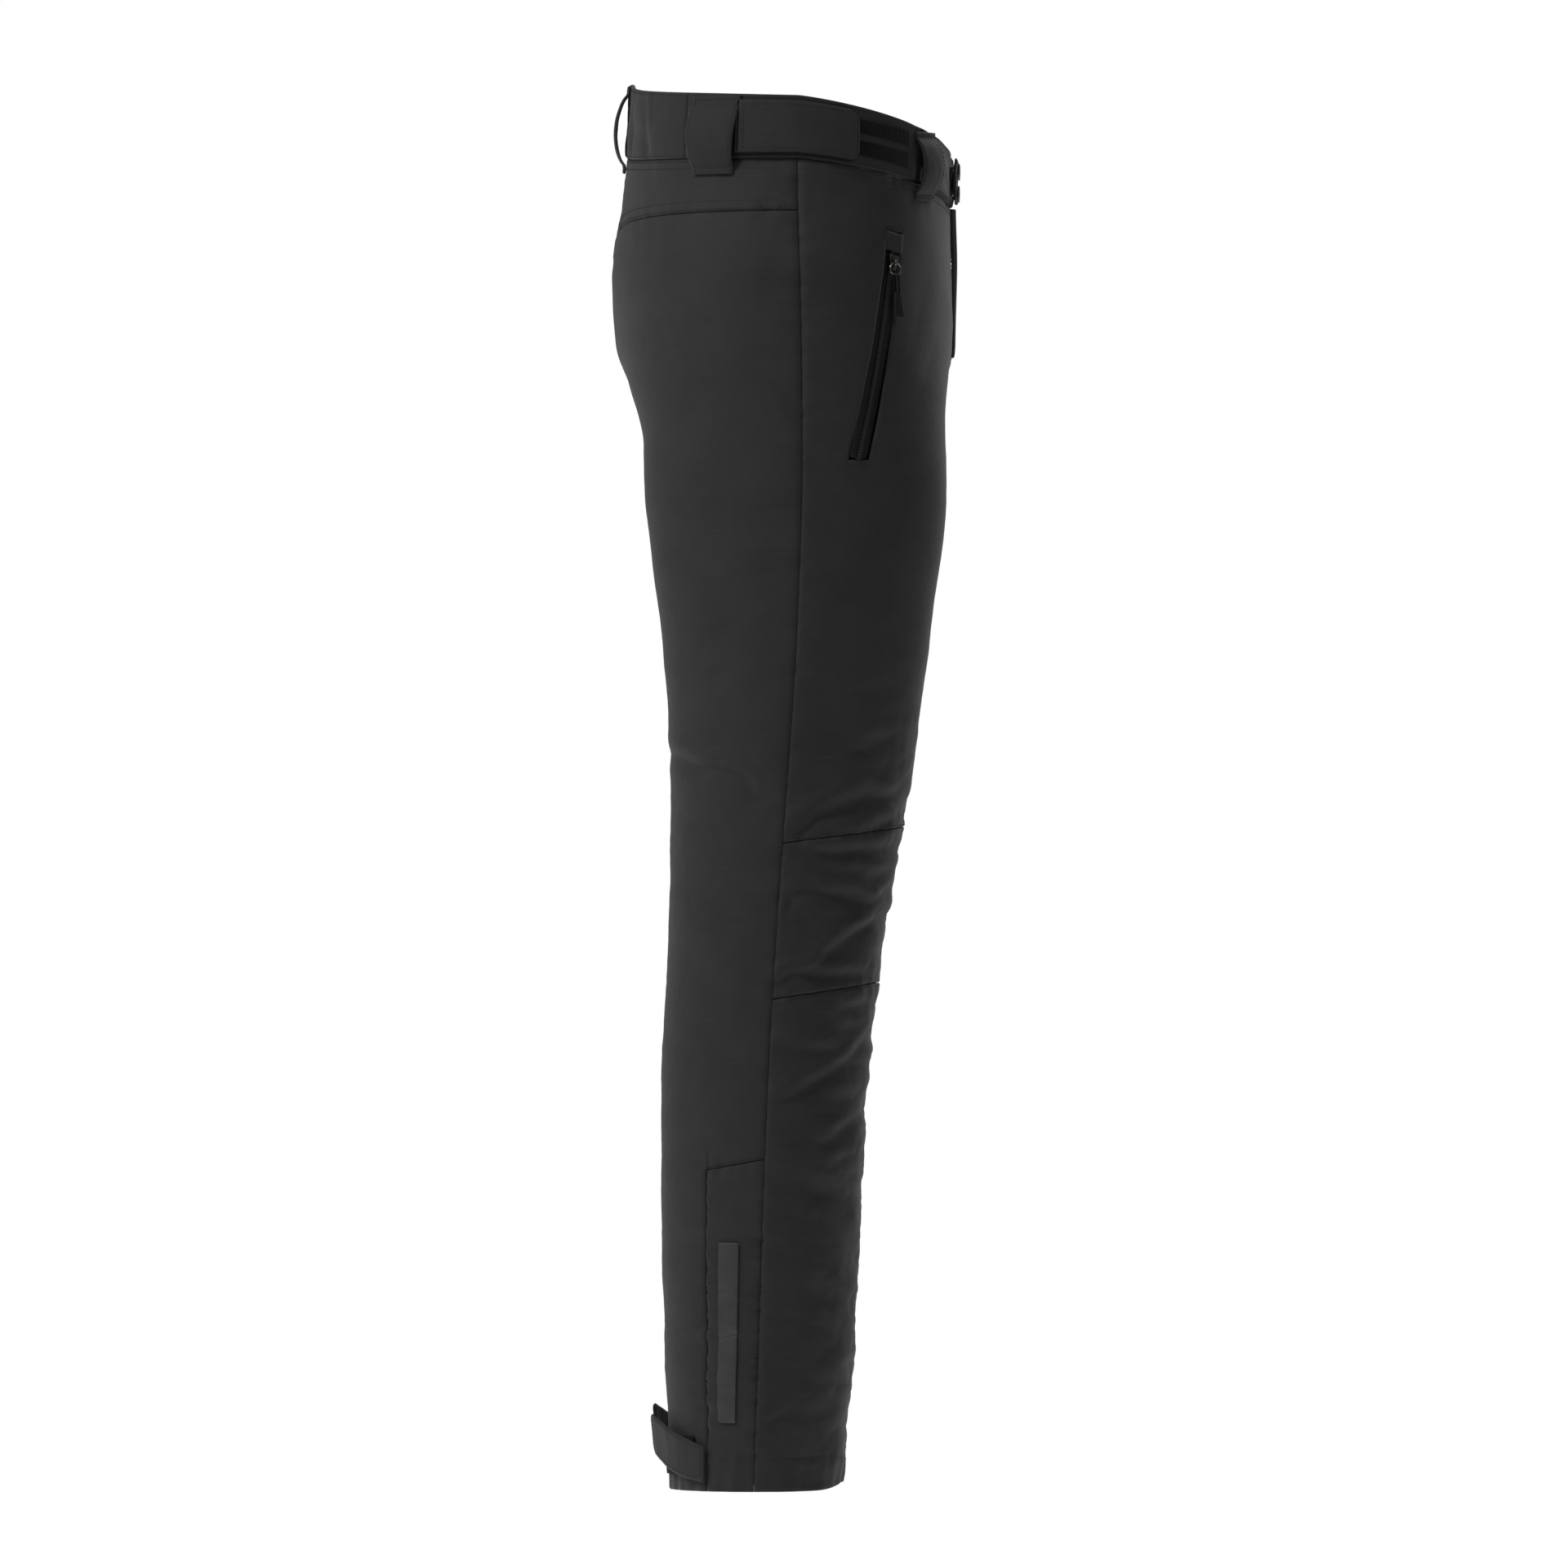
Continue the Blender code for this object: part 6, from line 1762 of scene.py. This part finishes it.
@dataclass
class SliderSet:
    """A zip slider with its bridge, and the ring, cord and moulded grip that hang from it."""

    label: str
    frame: Matrix
    slider_body: str
    pull_body: str
    nodes: tuple[str, str, str]
    coil_top: float
    cord: float = 15 * MM
    width: float = 8.5 * MM
    high: float = 2.9 * MM
    length: float = 12 * MM
    wire: float = 0.75 * MM
    ring: float = 5.0 * MM

    def hanging(self) -> Matrix:
        """The pull's frame: on the bridge, with Z upright."""
        plate = self.coil_top + 0.3 * MM
        hole = plate + self.high + 0.4 * MM
        pin = self.frame @ Matrix.Translation((0.0, -hole - 0.5 * MM, 0.0))
        out = -pin.col[1].to_3d()
        across = Vector((0, 0, 1)).cross(out).normalized()
        back = -out.normalized()
        turn = Matrix((across, back, across.cross(back))).transposed().to_4x4()
        return Matrix.Translation(pin.translation) @ turn

    def build(self) -> None:
        """Makes the slider, the ring and the pull."""
        self.slider()
        pin = self.hanging()
        bench = Bench(f"{self.label}_ring", pin)
        eye = bench.ring(self.ring, self.wire, (0, 0, -self.ring), (math.pi / 2, 0, 0))
        # The ring's foot is drawn straight, as a D
        with bench.edit(eye, points=lambda p: p.z < -1.45 * self.ring):
            bpy.ops.transform.resize(value=(1.12, 1.0, 0.62), center_override=(0, 0, -1.45 * self.ring))
        bench.finish(FINISH.metal, self.pull_body, (self.nodes[1],))
        self.grip(pin)

    def slider(self) -> None:
        """The slider: a tapered body, a nose, a recessed face and the bridge that the ring rides in."""
        plate = self.coil_top + 0.3 * MM
        bench = Bench(f"{self.label}_slider_body", self.frame)
        body = bench.block((self.width, self.high, self.length), (0, -plate - self.high / 2, 0))
        with bench.edit(body, faces=lambda c, n: n.z < -0.5):
            nose = (0, -plate - self.high / 2, -self.length / 2)
            bpy.ops.transform.resize(value=(0.66, 1.0, 1.0), center_override=nose)
        with bench.edit(body, faces=lambda c, n: n.z > 0.5):
            bpy.ops.mesh.inset(thickness=0.9 * MM, depth=0.0)
            bpy.ops.transform.translate(value=(0, 0, -1.6 * MM))
        with bench.edit(body, faces=lambda c, n: n.y < -0.5):
            bpy.ops.mesh.inset(thickness=1.1 * MM, depth=-0.5 * MM)
        bench.bevel(body, 0.45 * MM)
        hole = plate + self.high + 0.4 * MM
        bridge = bench.ring(2.3 * MM, 0.8 * MM, (0, -hole, 0), (0, math.pi / 2, 0))
        with bench.edit(bridge, points=lambda p: True):
            bpy.ops.transform.resize(value=(1.35, 1.0, 1.0), center_override=(0, -hole, 0))
        bench.finish(FINISH.dark_metal, self.slider_body, (self.nodes[0],))

    def grip(self, pin: Matrix) -> None:
        """The pull: a looped cord and a moulded grip with a plain ribbed face."""
        low = -2 * self.ring
        wide, thick, tall = 9 * MM, 2.2 * MM, 17 * MM
        cord = Bench(f"{self.label}_pull_cord", pin)
        for shift in (-1.15 * MM, 1.15 * MM):
            loop = cord.ring(2.0 * MM, 0.65 * MM, (shift, 0, low), (0, math.pi / 2, 0))
            with cord.edit(loop, points=lambda p: p.z < low):
                bpy.ops.transform.translate(value=(0, 0, -(self.cord - 2.4 * MM)))
        cord.finish(FINISH.cord, self.pull_body)
        bench = Bench(f"{self.label}_pull_grip", pin)
        middle = low - self.cord - tall / 2
        body = bench.block((wide, thick, tall), (0, 0, middle))
        with bench.edit(body, faces=lambda c, n: n.z > 0.5):
            bpy.ops.transform.resize(value=(0.55, 1.0, 1.0), center_override=(0, 0, middle + tall / 2))
            bpy.ops.mesh.extrude_region_move(TRANSFORM_OT_translate={"value": (0, 0, 2.6 * MM)})
            bpy.ops.transform.resize(value=(0.75, 0.85, 1.0), center_override=(0, 0, middle + tall / 2))
        with bench.edit(body, faces=lambda c, n: abs(n.y) > 0.5 and c.z < middle + tall / 2):
            bpy.ops.mesh.inset(thickness=0.9 * MM, depth=-0.35 * MM, use_individual=True)
        bench.bevel(body, 0.4 * MM)
        for row in range(7):
            for face in (-1, 1):
                z = middle - 5.6 * MM + row * 1.6 * MM
                rib = bench.block((5.0 * MM, 0.5 * MM, 0.75 * MM), (0, face * (thick / 2 - 0.3 * MM), z))
                bench.bevel(rib, 0.18 * MM, 2)
        bench.finish(FINISH.rubber, self.pull_body, (self.nodes[2],))


def swept_tape(name: str, frames: list[Matrix], half: float, front: float, thick: float) -> bpy.types.Object:
    """A zip's tape along a line of frames.

    Args:
        name: the piece's name.
        frames: places along it, X across and Y into the cloth.
        half: half its width.
        front: how far in its face is.
        thick: its thickness.

    Returns:
        The object.
    """
    across = np.linspace(-half, half, 13)
    outer = np.array([[frame @ Vector((x, front, 0)) for x in across] for frame in frames])
    inner = np.array([[frame @ Vector((x, front + thick, 0)) for x in across] for frame in frames])
    far = np.concatenate([[0.0], np.cumsum(np.linalg.norm(np.diff(outer[:, 6], axis=0), axis=1))])
    uv = np.stack([np.broadcast_to(across[None, :], outer.shape[:2]),
                   np.broadcast_to(far[:, None], outer.shape[:2])], axis=-1)
    piece = grid_object(name, outer, inner, np.ones((len(frames) - 1, 12), bool), uv, False)
    return piece


def coil_turns(name: str, frames: list[Matrix], front: float) -> None:
    """The two meshed rows of a closed nylon coil.

    Args:
        name: the piece's name.
        frames: one place for each turn.
        front: how far in the tape's face is.
    """
    rows = []
    for i, frame in enumerate(frames):
        way = 1 if i % 2 else -1
        rows.append([frame @ Vector((way * x, front - 0.75 * MM, 0)) for x in (-0.7 * MM, 2.3 * MM)])
    ends = np.array(rows)
    lift = np.array([-frame.col[1].to_3d() * 0.25 * MM for frame in frames])
    dress(capsules(name, ends[:, 0], ends[:, 1], 0.52 * MM, lift), FINISH.coil)


@dataclass
class PocketZip:
    """A hand pocket's curved zip with its slider, its pull and the cloth garage at its top."""

    pocket: Pocket
    tape_deep: float = 3.0 * MM
    tape_thick: float = 0.7 * MM
    coil_high: float = 1.6 * MM

    def build(self) -> None:
        """Makes the zip of one pocket."""
        label = self.pocket.side.label
        up, down, radius = self.pocket.span()
        way = 1.0 if up > 0 else -1.0
        start = down - way * 0.003 / radius
        end = up + way * self.pocket.garage / radius
        face = self.tape_deep - self.tape_thick

        def frames(first: float, count: int) -> list[Matrix]:
            return [self.pocket.frame(angle) for angle in np.linspace(first, end, count)]

        half = self.pocket.width / 2
        tape = swept_tape(f"pocket_tape_{label}", frames(start, 70), half - 0.4 * MM, face, self.tape_thick)
        dress(tape, FINISH.tape, replaces=(f"pocket_zip_tape_{label}",))
        turns = int(abs(end - start) * radius / COIL_PITCH)
        coil_turns(f"pocket_coil_{label}", frames(start, turns), face)
        rest = up - way * 0.007 / radius
        SliderSet(f"pocket_{label}", self.pocket.frame(rest), f"pocket_slider_{label}", f"pocket_pull_{label}",
                  (f"pocket_{label}_slider", f"pocket_{label}_pull_ring", f"pocket_{label}_pull_tab"),
                  self.tape_thick + self.coil_high - self.tape_deep).build()
        covered = frames(up + way * 0.0025 / radius, 12)
        garage = swept_tape(f"zip_garage_{label}", covered, half - 0.5 * MM, -0.9 * MM, 1.2 * MM)
        dress(garage, FINISH.shell)
        LOG.info("pocket zip %s: %d coil turns", label, turns)


@dataclass
class Fly:
    """The fly's zip, with its slider and pull, and the shield behind it."""

    width: float = 26 * MM
    tape_thick: float = 0.7 * MM
    coil_high: float = 1.6 * MM
    deep: float = 4.3 * MM

    def line(self) -> tuple[Vector, Vector]:
        """The two ends of the zip's line, on the centre front."""
        ends = []
        for z in (Seams.FLY_BOTTOM + 0.8 * MM, Seams.FLY_TOP):
            one, at = np.array([1.0]), np.array([z])
            place = FORM.point(1, one, at) - FORM.normal(1, one, at) * self.deep
            ends.append(Vector((0.0, float(place[0, 1]), float(place[0, 2]))))
        return ends[0], ends[1]

    def frame(self, share: float) -> Matrix:
        """The frame on the zip's line: X across it, -Y out, Z up."""
        low, high = self.line()
        across = Vector((1, 0, 0))
        out = (high - low).cross(across).normalized()
        out = -out if out.y > 0 else out
        turn = Matrix((across, -out, across.cross(-out))).transposed().to_4x4()
        return Matrix.Translation(low.lerp(high, share)) @ turn

    def build(self) -> None:
        """Makes the fly."""
        low, high = self.line()
        length = (high - low).length

        def frames(first: float, last: float, count: int) -> list[Matrix]:
            return [self.frame(share) for share in np.linspace(first, last, count)]

        tape = swept_tape("fly_tape", frames(0, 1, 40), self.width / 2, -self.tape_thick, self.tape_thick)
        dress(tape, FINISH.tape, replaces=("fly_zip_tape",))
        coil_turns("fly_coil", frames(0.005, 0.995, int(length / COIL_PITCH)), -self.tape_thick)

        def shield(x: Array, z: Array) -> tuple[Array, Array]:
            share = (z - Seams.FLY_BOTTOM) / (Seams.FLY_TOP - Seams.FLY_BOTTOM)
            t = FORM.at_across(x, z)
            one = np.ones(z.shape)
            drop = FORM.point(1, t, z)[..., 1] - FORM.point(1, one, z)[..., 1]
            y = low.y + (high.y - low.y) * share + 1.2 * MM + drop
            base = np.stack([x, y, z - WAIST_HEIGHT], axis=-1)
            return base, np.broadcast_to(np.array([0.0, -1.0, 0.0]), base.shape)

        Cloth("fly_shield_cloth", Side.RIGHT, [level(-0.025), level(0.025)], [level(0.870), level(0.979)],
              1.5 * MM, FINISH.shell, ("fly_shield",), step=3 * MM, place=shield,
              real=(0.05, 0.109), held="hung", rests_on=("waistband_cloth_front_left",)).build()
        for side in Side:
            def lip(x: Array, z: Array, side: Side = side) -> tuple[Array, Array]:
                """The folded edge of the placket, which rolls forward beside the zip."""
                t = FORM.at_across(np.abs(x), z)
                normal = FORM.normal(side.value, t, z)
                stand = (1.0 + 2.6 * eased(0.872, 0.955, z)) * MM
                roll = stand * np.cos(np.clip((np.abs(x) - 8.5 * MM) / (12 * MM), 0, 1) * np.pi / 2)
                return FORM.point(side.value, t, z) + normal * roll[..., None], normal

            columns = [level(x) for x in sorted((side.value * 8.5 * MM, side.value * 20.0 * MM))]
            Cloth(f"fly_lip_{side.label}", Side.RIGHT, columns, [level(0.869), level(0.9832)],
                  1.2 * MM, FINISH.tape, out=1.2 * MM, step=1.6 * MM, place=lip,
                  real=(0.0115, 0.1142), held="stretched", rests_on=(f"front_panel_cloth_{side.label}",)).build()
        share = 1.0 - 0.007 / length
        SliderSet("fly", self.frame(share), "fly_slider", "fly_pull", ("fly_slider", "fly_pull_ring", "fly_pull_tab"),
                  self.tape_thick + self.coil_high, cord=8 * MM).build()


@dataclass
class FrontTab:
    """The tab that closes the waistband over the fly, with its two press snaps."""

    hinge_x: float = 20 * MM
    end_x: float = -36 * MM
    out: float = 4.4 * MM
    thick: float = 2.0 * MM
    inset: float = 3.0 * MM
    snap_x: float = -22 * MM

    def place(self, x: Array, z: Array) -> tuple[Array, Array]:
        """Where the tab's cloth lies, x from the centre."""
        side = np.where(x >= 0, 1, -1)
        t = FORM.at_across(x, z)
        return FORM.point(side, t, z), FORM.normal(side, t, z)

    def relief(self, _: int, x: Array, z: Array) -> Array:
        """Small ripples, kept flat under the snaps."""
        away = np.clip(np.abs(x - self.snap_x) / (10 * MM), 0, 1)
        return RELIEF.pucker(x / (9 * MM), z / (20 * MM), 4.4) * 0.5 * MM * away

    def build(self) -> None:
        """Makes the tab, its stitching and its snaps."""

        def edge(line: Line, by: float) -> Line:
            return lambda x: line(FORM.at_across(x, np.full(np.shape(x), 0.984))) + by

        rows = [edge(Seams.band, self.inset), edge(Seams.band_top, -self.inset)]
        corner = 5 * MM

        def rounded(z: Array) -> Array:
            """The free end, with round corners."""
            low, high = Seams.band(1.0) + self.inset + corner, Seams.band_top(1.0) - self.inset - corner
            return self.end_x + corner_cut(np.maximum(low - z, z - high), corner, 0.98)

        Cloth("front_tab_cloth", Side.RIGHT, [rounded, level(self.hinge_x)], rows, self.thick, FINISH.band,
              ("closure_tab",), "closure_tab", out=self.out + self.thick, step=1.6 * MM,
              place=self.place, relief=self.relief, real=(0.056, 0.032), held="hung",
              rests_on=("waistband_cloth_front_left",)).build()
        stitched = Stitching("front_tab_stitching", body="closure_tab")
        along = np.linspace(self.end_x + 4 * MM, self.hinge_x - 2 * MM, 40)
        up = np.linspace(0.9915, 1.0145, 20)
        for x, z in ((along, rows[0](along) + 2.5 * MM), (along, rows[1](along) - 2.5 * MM),
                     (self.end_x + 2.6 * MM, up), (self.hinge_x - 2.4 * MM, up)):
            stitched.on_piece(self.place, self.relief, 0, self.out + self.thick, x, z)
        stitched.build()
        for name, lift in (("lower", -8.5 * MM), ("upper", 8.5 * MM)):
            self.snap(name, 1.003 + lift)

    def snap(self, name: str, z: float) -> None:
        """Makes one snap: the cap on the tab and the stud on the band."""
        height = np.array([z])
        t = FORM.at_across(np.array([self.snap_x]), height)
        normal = Vector(FORM.normal(-1, t, height)[0])
        foot = Vector(FORM.point(-1, t, height)[0])
        turn = Vector((0, 0, 1)).rotation_difference(normal).to_matrix().to_4x4()
        frame = Matrix.Translation(foot) @ turn
        top = self.out + self.thick + 0.5 * MM
        bench = Bench(f"snap_cap_{name}_metal", frame)
        cap = bench.disc(6.5 * MM, 1.2 * MM, (0, 0, top + 0.6 * MM), sides=64)
        with bench.edit(cap, faces=lambda c, n: n.z > 0.5):
            bpy.ops.mesh.inset(thickness=1.1 * MM, depth=0.0)
            bpy.ops.mesh.inset(thickness=0.35 * MM, depth=-0.35 * MM)
            bpy.ops.mesh.inset(thickness=2.4 * MM, depth=0.25 * MM)
        bench.bevel(cap, 0.3 * MM)
        shank = bench.disc(2.7 * MM, 2.9 * MM, (0, 0, top - 1.3 * MM), sides=32)
        with bench.edit(shank, faces=lambda c, n: n.z < -0.5):
            bpy.ops.mesh.inset(thickness=0.6 * MM, depth=-2.0 * MM)
        bench.finish(FINISH.dark_metal, "closure_tab", (f"snap_cap_{name}",))
        bench = Bench(f"snap_stud_{name}_metal", frame)
        base = bench.disc(5.0 * MM, 0.8 * MM, (0, 0, 1.9 * MM), sides=48)
        with bench.edit(base, faces=lambda c, n: n.z > 0.5):
            bpy.ops.mesh.inset(thickness=3.4 * MM, depth=0.0)
            bpy.ops.mesh.extrude_region_move(TRANSFORM_OT_translate={"value": (0, 0, 3.4 * MM)})
        bench.bevel(base, 0.25 * MM)
        bench.finish(FINISH.metal, "pants", (f"snap_stud_{name}",))


# ---- Studio ------------------------------------------------------------------------------------
@dataclass
class Studio:
    """A pale floor, soft light and the camera, level with the middle of the leg on the wearer's right."""

    distance: float = 14.0
    frame_wide: float = 1.20192
    middle_height: float = 0.539612
    hip_depth: float = 0.11
    sensor: float = 36.0
    floor: float = -1.45

    def build(self) -> None:
        """Makes the floor, the lights and the camera."""
        self.set_floor()
        world = bpy.data.worlds.new("soft_white_room")
        bpy.context.scene.world = world
        world.use_nodes = True
        tree = world.node_tree
        tree.nodes.clear()
        seen = add(tree, "ShaderNodeBackground", None, Color=(1, 1, 1, 1), Strength=1.0)
        room = add(tree, "ShaderNodeBackground", None, Color=(1, 1, 1, 1), Strength=0.07)
        ray = add(tree, "ShaderNodeLightPath")
        mix = add(tree, "ShaderNodeMixShader", None, n0=ray.outputs["Is Camera Ray"], n1=room.outputs[0],
                  n2=seen.outputs[0])
        add(tree, "ShaderNodeOutputWorld", None, Surface=mix.outputs[0])
        self.lamp("key_softbox", (-1.5, 2.0, 2.1), 0.7, 38.0)
        self.lamp("rear_strip", (-0.5, 2.8, 0.6), 1.2, 11.0)
        self.lamp("front_fill", (-2.0, -1.6, 2.0), 1.0, 10.0)
        self.lamp("far_fill", (2.6, -1.2, 1.2), 1.8, 30.0)
        view = bpy.context.scene.view_settings
        view.view_transform, view.look, view.exposure, view.gamma = "Standard", "None", 0.0, 1.0
        camera = link(bpy.data.objects.new("camera", bpy.data.cameras.new("camera")))
        camera.data.sensor_width = self.sensor
        camera.data.lens = self.sensor * (self.distance - self.hip_depth) / self.frame_wide
        camera.location = (-self.distance, 0.0, self.middle_height - WAIST_HEIGHT)
        camera.rotation_euler = (math.pi / 2, 0.0, -math.pi / 2)
        camera.data.clip_end = 60.0
        bpy.context.scene.camera = camera

    def set_floor(self) -> None:
        """A pale floor well below the hems."""
        bpy.ops.object.select_all(action="DESELECT")
        bpy.ops.mesh.primitive_plane_add(size=6.0, location=(0, 0, self.floor))
        floor = bpy.context.active_object
        floor.name = "studio_floor"
        paint = bpy.data.materials.new("matt_white_floor_paint")
        paint.use_nodes = True
        tree = paint.node_tree
        shader = tree.nodes["Principled BSDF"]
        solid = add(tree, "ShaderNodeTexCoord").outputs["Object"]
        mottle = add(tree, "ShaderNodeTexNoise", None, Vector=solid, Scale=3.0, Detail=3.0)
        tone = blend(tree, mottle.outputs["Fac"], "fbfbfb", "ffffff")
        plug(tree, shader, Base_Color=tone, Roughness=0.9, Emission_Color=(1, 1, 1, 1), Emission_Strength=0.25)
        floor.data.materials.append(paint)

    @staticmethod
    def lamp(name: str, place: tuple[float, float, float], size: float, power: float) -> None:
        """Adds a square softbox that faces the middle of the legs."""
        light = bpy.data.lights.new(name, "AREA")
        light.shape, light.size, light.energy = "SQUARE", size, power
        lamp = link(bpy.data.objects.new(name, light))
        lamp.location = place
        way = Vector((0, 0, -0.45)) - Vector(place)
        lamp.rotation_euler = way.to_track_quat("-Z", "Y").to_euler()
        light.use_shadow = True


def main() -> None:
    """Builds the garment from the inside out, then the room round it."""
    logging.basicConfig(level=logging.INFO, format="%(message)s", stream=sys.stdout)
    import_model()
    InnerLayers().build()
    Shell().build()
    LowerLegTrim().build()
    Waist().build()
    FrontTab().build()
    Fly().build()
    for side in Side:
        PocketZip(Pocket(side)).build()
    Studio().build()


if __name__ == "__main__":
    main()
